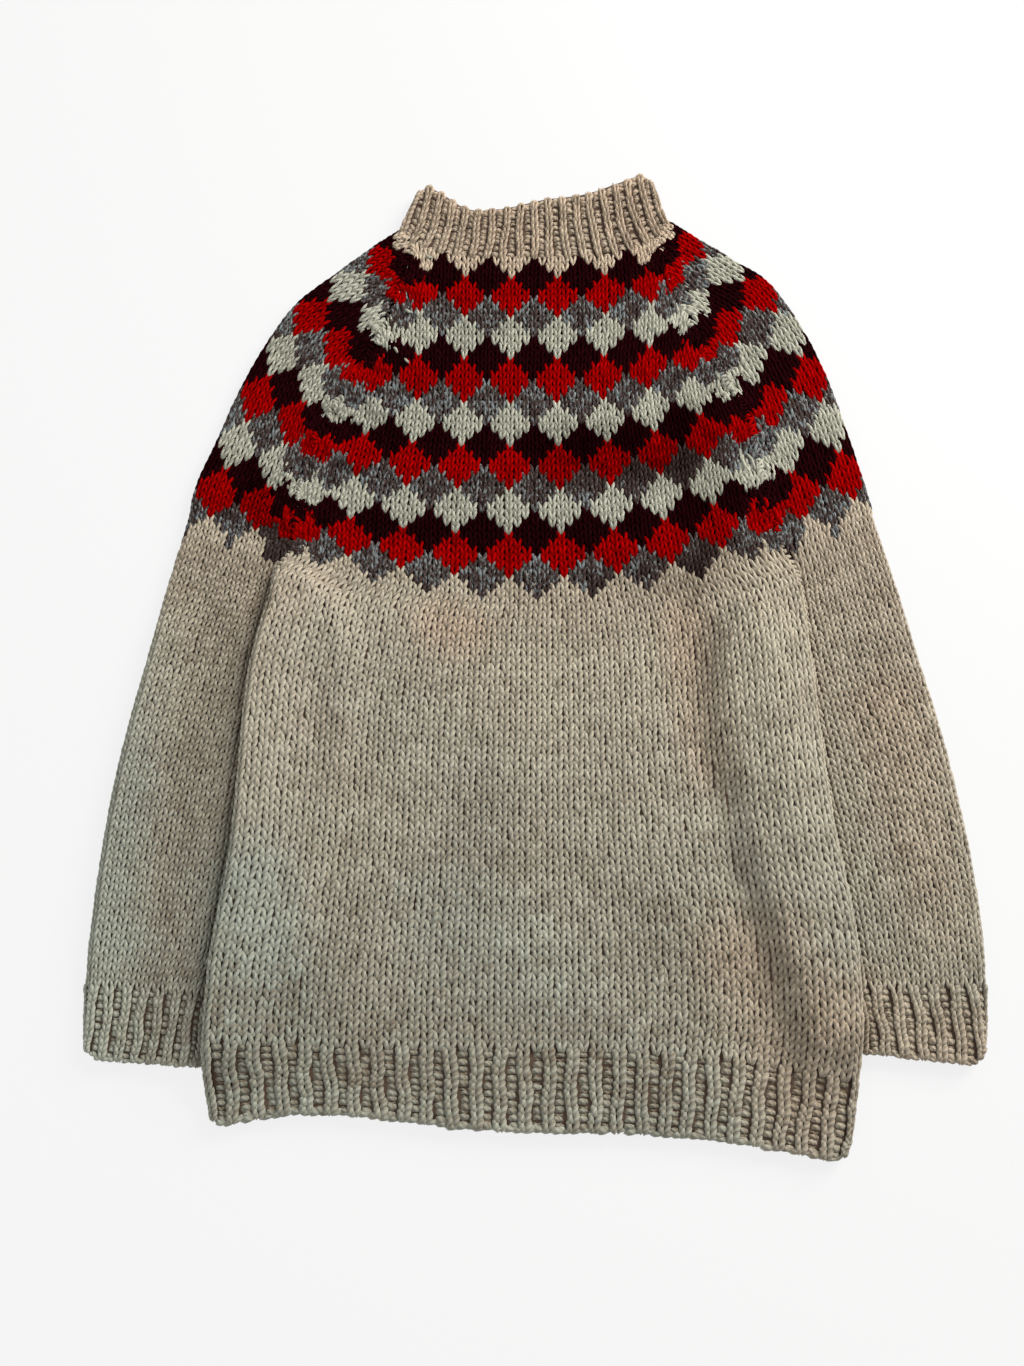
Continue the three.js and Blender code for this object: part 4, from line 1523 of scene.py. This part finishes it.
# %% Loose ends
ENDS = [
    ("cream", (158.0, 134.0), (166.0, 116.0), 1.6, 1.5),
    ("cream", (163.0, 134.0), (169.0, 118.0), -1.2, 1.2),
    ("red", (181.0, 92.0), (188.5, 74.0), 1.0, 1.9),
    ("red", (174.5, 98.0), (176.5, 88.0), -0.8, 1.5),
    ("cream", (-86.0, 303.0), (-80.0, 300.0), 0.8, 1.1),
    ("cream", (-102.0, 256.0), (-95.0, 252.5), 1.0, 1.3),
    ("cream", (-110.0, 222.0), (-106.5, 216.0), -0.6, 1.1),
    ("cream", (-101.0, 213.0), (-97.0, 208.0), 0.6, 1.0),
    ("cream", (-125.5, 228.0), (-117.0, 224.5), 1.2, 1.5),
    ("oatmeal", (-2.0, 27.0), (0.8, 30.2), 0.7, 0.32),
    ("oatmeal", (-6.4, 34.4), (-3.8, 36.8), -0.6, 0.32),
]
STRAND_STEPS = 6
ABOVE = 0.4
END_TONE = 0.7

panels = (front, *sleeves.values())
tops = np.concatenate([fabric.points.reshape(-1, 3) for fabric in panels])
tops = tops[tops[:, 2] > THICK / 2]


def strand(start, end, bow, thickness):
    """A bent strand that lies on the nearest points of the cloth."""
    share = np.linspace(0.0, 1.0, STRAND_STEPS)[:, None]
    along = np.array(end) - np.array(start)
    side = np.array([along[1], -along[0]]) / np.linalg.norm(along)
    flat = np.array(start) + along * share + side * bow * np.sin(math.pi * share)
    nearest = np.linalg.norm(tops[None, :, :2] - flat[:, None], axis=-1).argmin(axis=1)
    height = tops[nearest, 2].mean() + ABOVE * np.sin(math.pi * share[:, 0])
    path = np.column_stack([flat, height])[None]
    up = np.broadcast_to([0.0, 0.0, 1.0], path.shape)
    thick = thickness * np.array([[0.0, 0.8, 1.0, 1.0, 0.8, 0.0]])
    return wrap(path, up, thick, thick)


for yarn, start, end, bow, thickness in ENDS:
    keep_legs(("ends", yarn), strand(start, end, bow, thickness), np.array([END_TONE]))
print("loose ends:", len(ENDS))

# %% [markdown]
# ## The underside
#
# The jumper lies on its back panel, which is knitted like the front. Its stitches are the same in
# count and colour, but lighter, with three sides and one ring less, since they face the table.
# They stay inside the cloth's lowest plane, so that the jumper still rests flat.

# %% Underside stitches
UNDER_SIDES = 3
UNDER_WIDTH, UNDER_HEIGHT = 0.25, 1.25
UNDER_LOOSE = 0.5
UNDER_INNER = 3


def knit_under(piece, fabric, column, row, yarn):
    for name in np.unique(yarn):
        chosen = yarn == name
        c, r = column[chosen], row[chosen] + HALF
        for mirror in (-1.0, 1.0):
            rings = grains(
                fabric, c, r, UNDER_LEG, mirror, UNDER_WIDTH, UNDER_HEIGHT, loose=UNDER_LOOSE,
                sides=UNDER_SIDES,
            )
            keep_legs((piece, str(name)), rings, tone_of(fabric, c, r))


c, r = count_grid(FRONT_COLUMNS, np.arange(0, YOKE_BASE + YOKE_ROWS_COUNT))
to_edge = half_at(r + HALF) - np.abs(c)
c, r = c[to_edge >= SIDE_CLEAR], r[to_edge >= SIDE_CLEAR]
yarn = np.where(r < YOKE_BASE, "oatmeal", yarn_names(c, r - YOKE_BASE))
in_hem = (r < RIB_ROWS) & (c % 2 == 0)
knit_under("hem_back", back, c[in_hem], r[in_hem], yarn[in_hem])
in_panel = r >= RIB_ROWS
knit_under("back", back, c[in_panel], r[in_panel], yarn[in_panel])
c, r = count_grid(neck_columns[::2], np.arange(0, NECK_ROWS))
knit_under("neck_back", neck_back, c, r, np.full(len(c), "oatmeal"))
for side, fabric in sleeves.items():
    across = np.arange(-SLEEVE_REACH, UNDER_INNER)
    c, r = count_grid(across, np.arange(0, SLEEVE_BASE + YOKE_ROWS_COUNT))
    places = c + FOLD_PHASE[side]
    low_reach = np.interp(r + HALF, sleeve_rows, fabric.reach[1])
    _, normal = fabric.at(places, r + HALF)
    faces_down = normal[:, 2] <= TURNED_UNDER
    kept = (places > -low_reach + SIDE_CLEAR) & faces_down & ((r >= CUFF_ROWS) | (c % 2 == 0))
    c, r, places = c[kept], r[kept], places[kept]
    chart_row = sleeve_chart_row(r, side)
    yarn = np.where(chart_row < 0, "oatmeal", yarn_names(c + CHART_SHIFT[side], chart_row))
    in_cuff = r < CUFF_ROWS
    knit_under(f"cuff_{side}_under", fabric, places[in_cuff], r[in_cuff], yarn[in_cuff])
    knit_under(f"sleeve_{side}_under", fabric, places[~in_cuff], r[~in_cuff], yarn[~in_cuff])
print("underside stitches laid")

# %% [markdown]
# ## From legs to pieces
#
# So far the stitches are only lists of rings of points. All legs of one panel and one yarn become
# one mesh, so that each piece has a single material and none grows too large.

# %% Join the legs
total = 0
for (piece, yarn), parts in sorted(legs.items()):
    rings = np.concatenate([rings for rings, _ in parts])
    tone = np.concatenate([tone for _, tone in parts])
    name = f"{piece}_stitches_{yarn}"
    mesh = leg_mesh(name, rings, tone)
    add_object(name, mesh, YARNS[yarn])
    total += len(mesh.polygons)
    print(name, len(mesh.polygons))
print("triangles in stitches:", total)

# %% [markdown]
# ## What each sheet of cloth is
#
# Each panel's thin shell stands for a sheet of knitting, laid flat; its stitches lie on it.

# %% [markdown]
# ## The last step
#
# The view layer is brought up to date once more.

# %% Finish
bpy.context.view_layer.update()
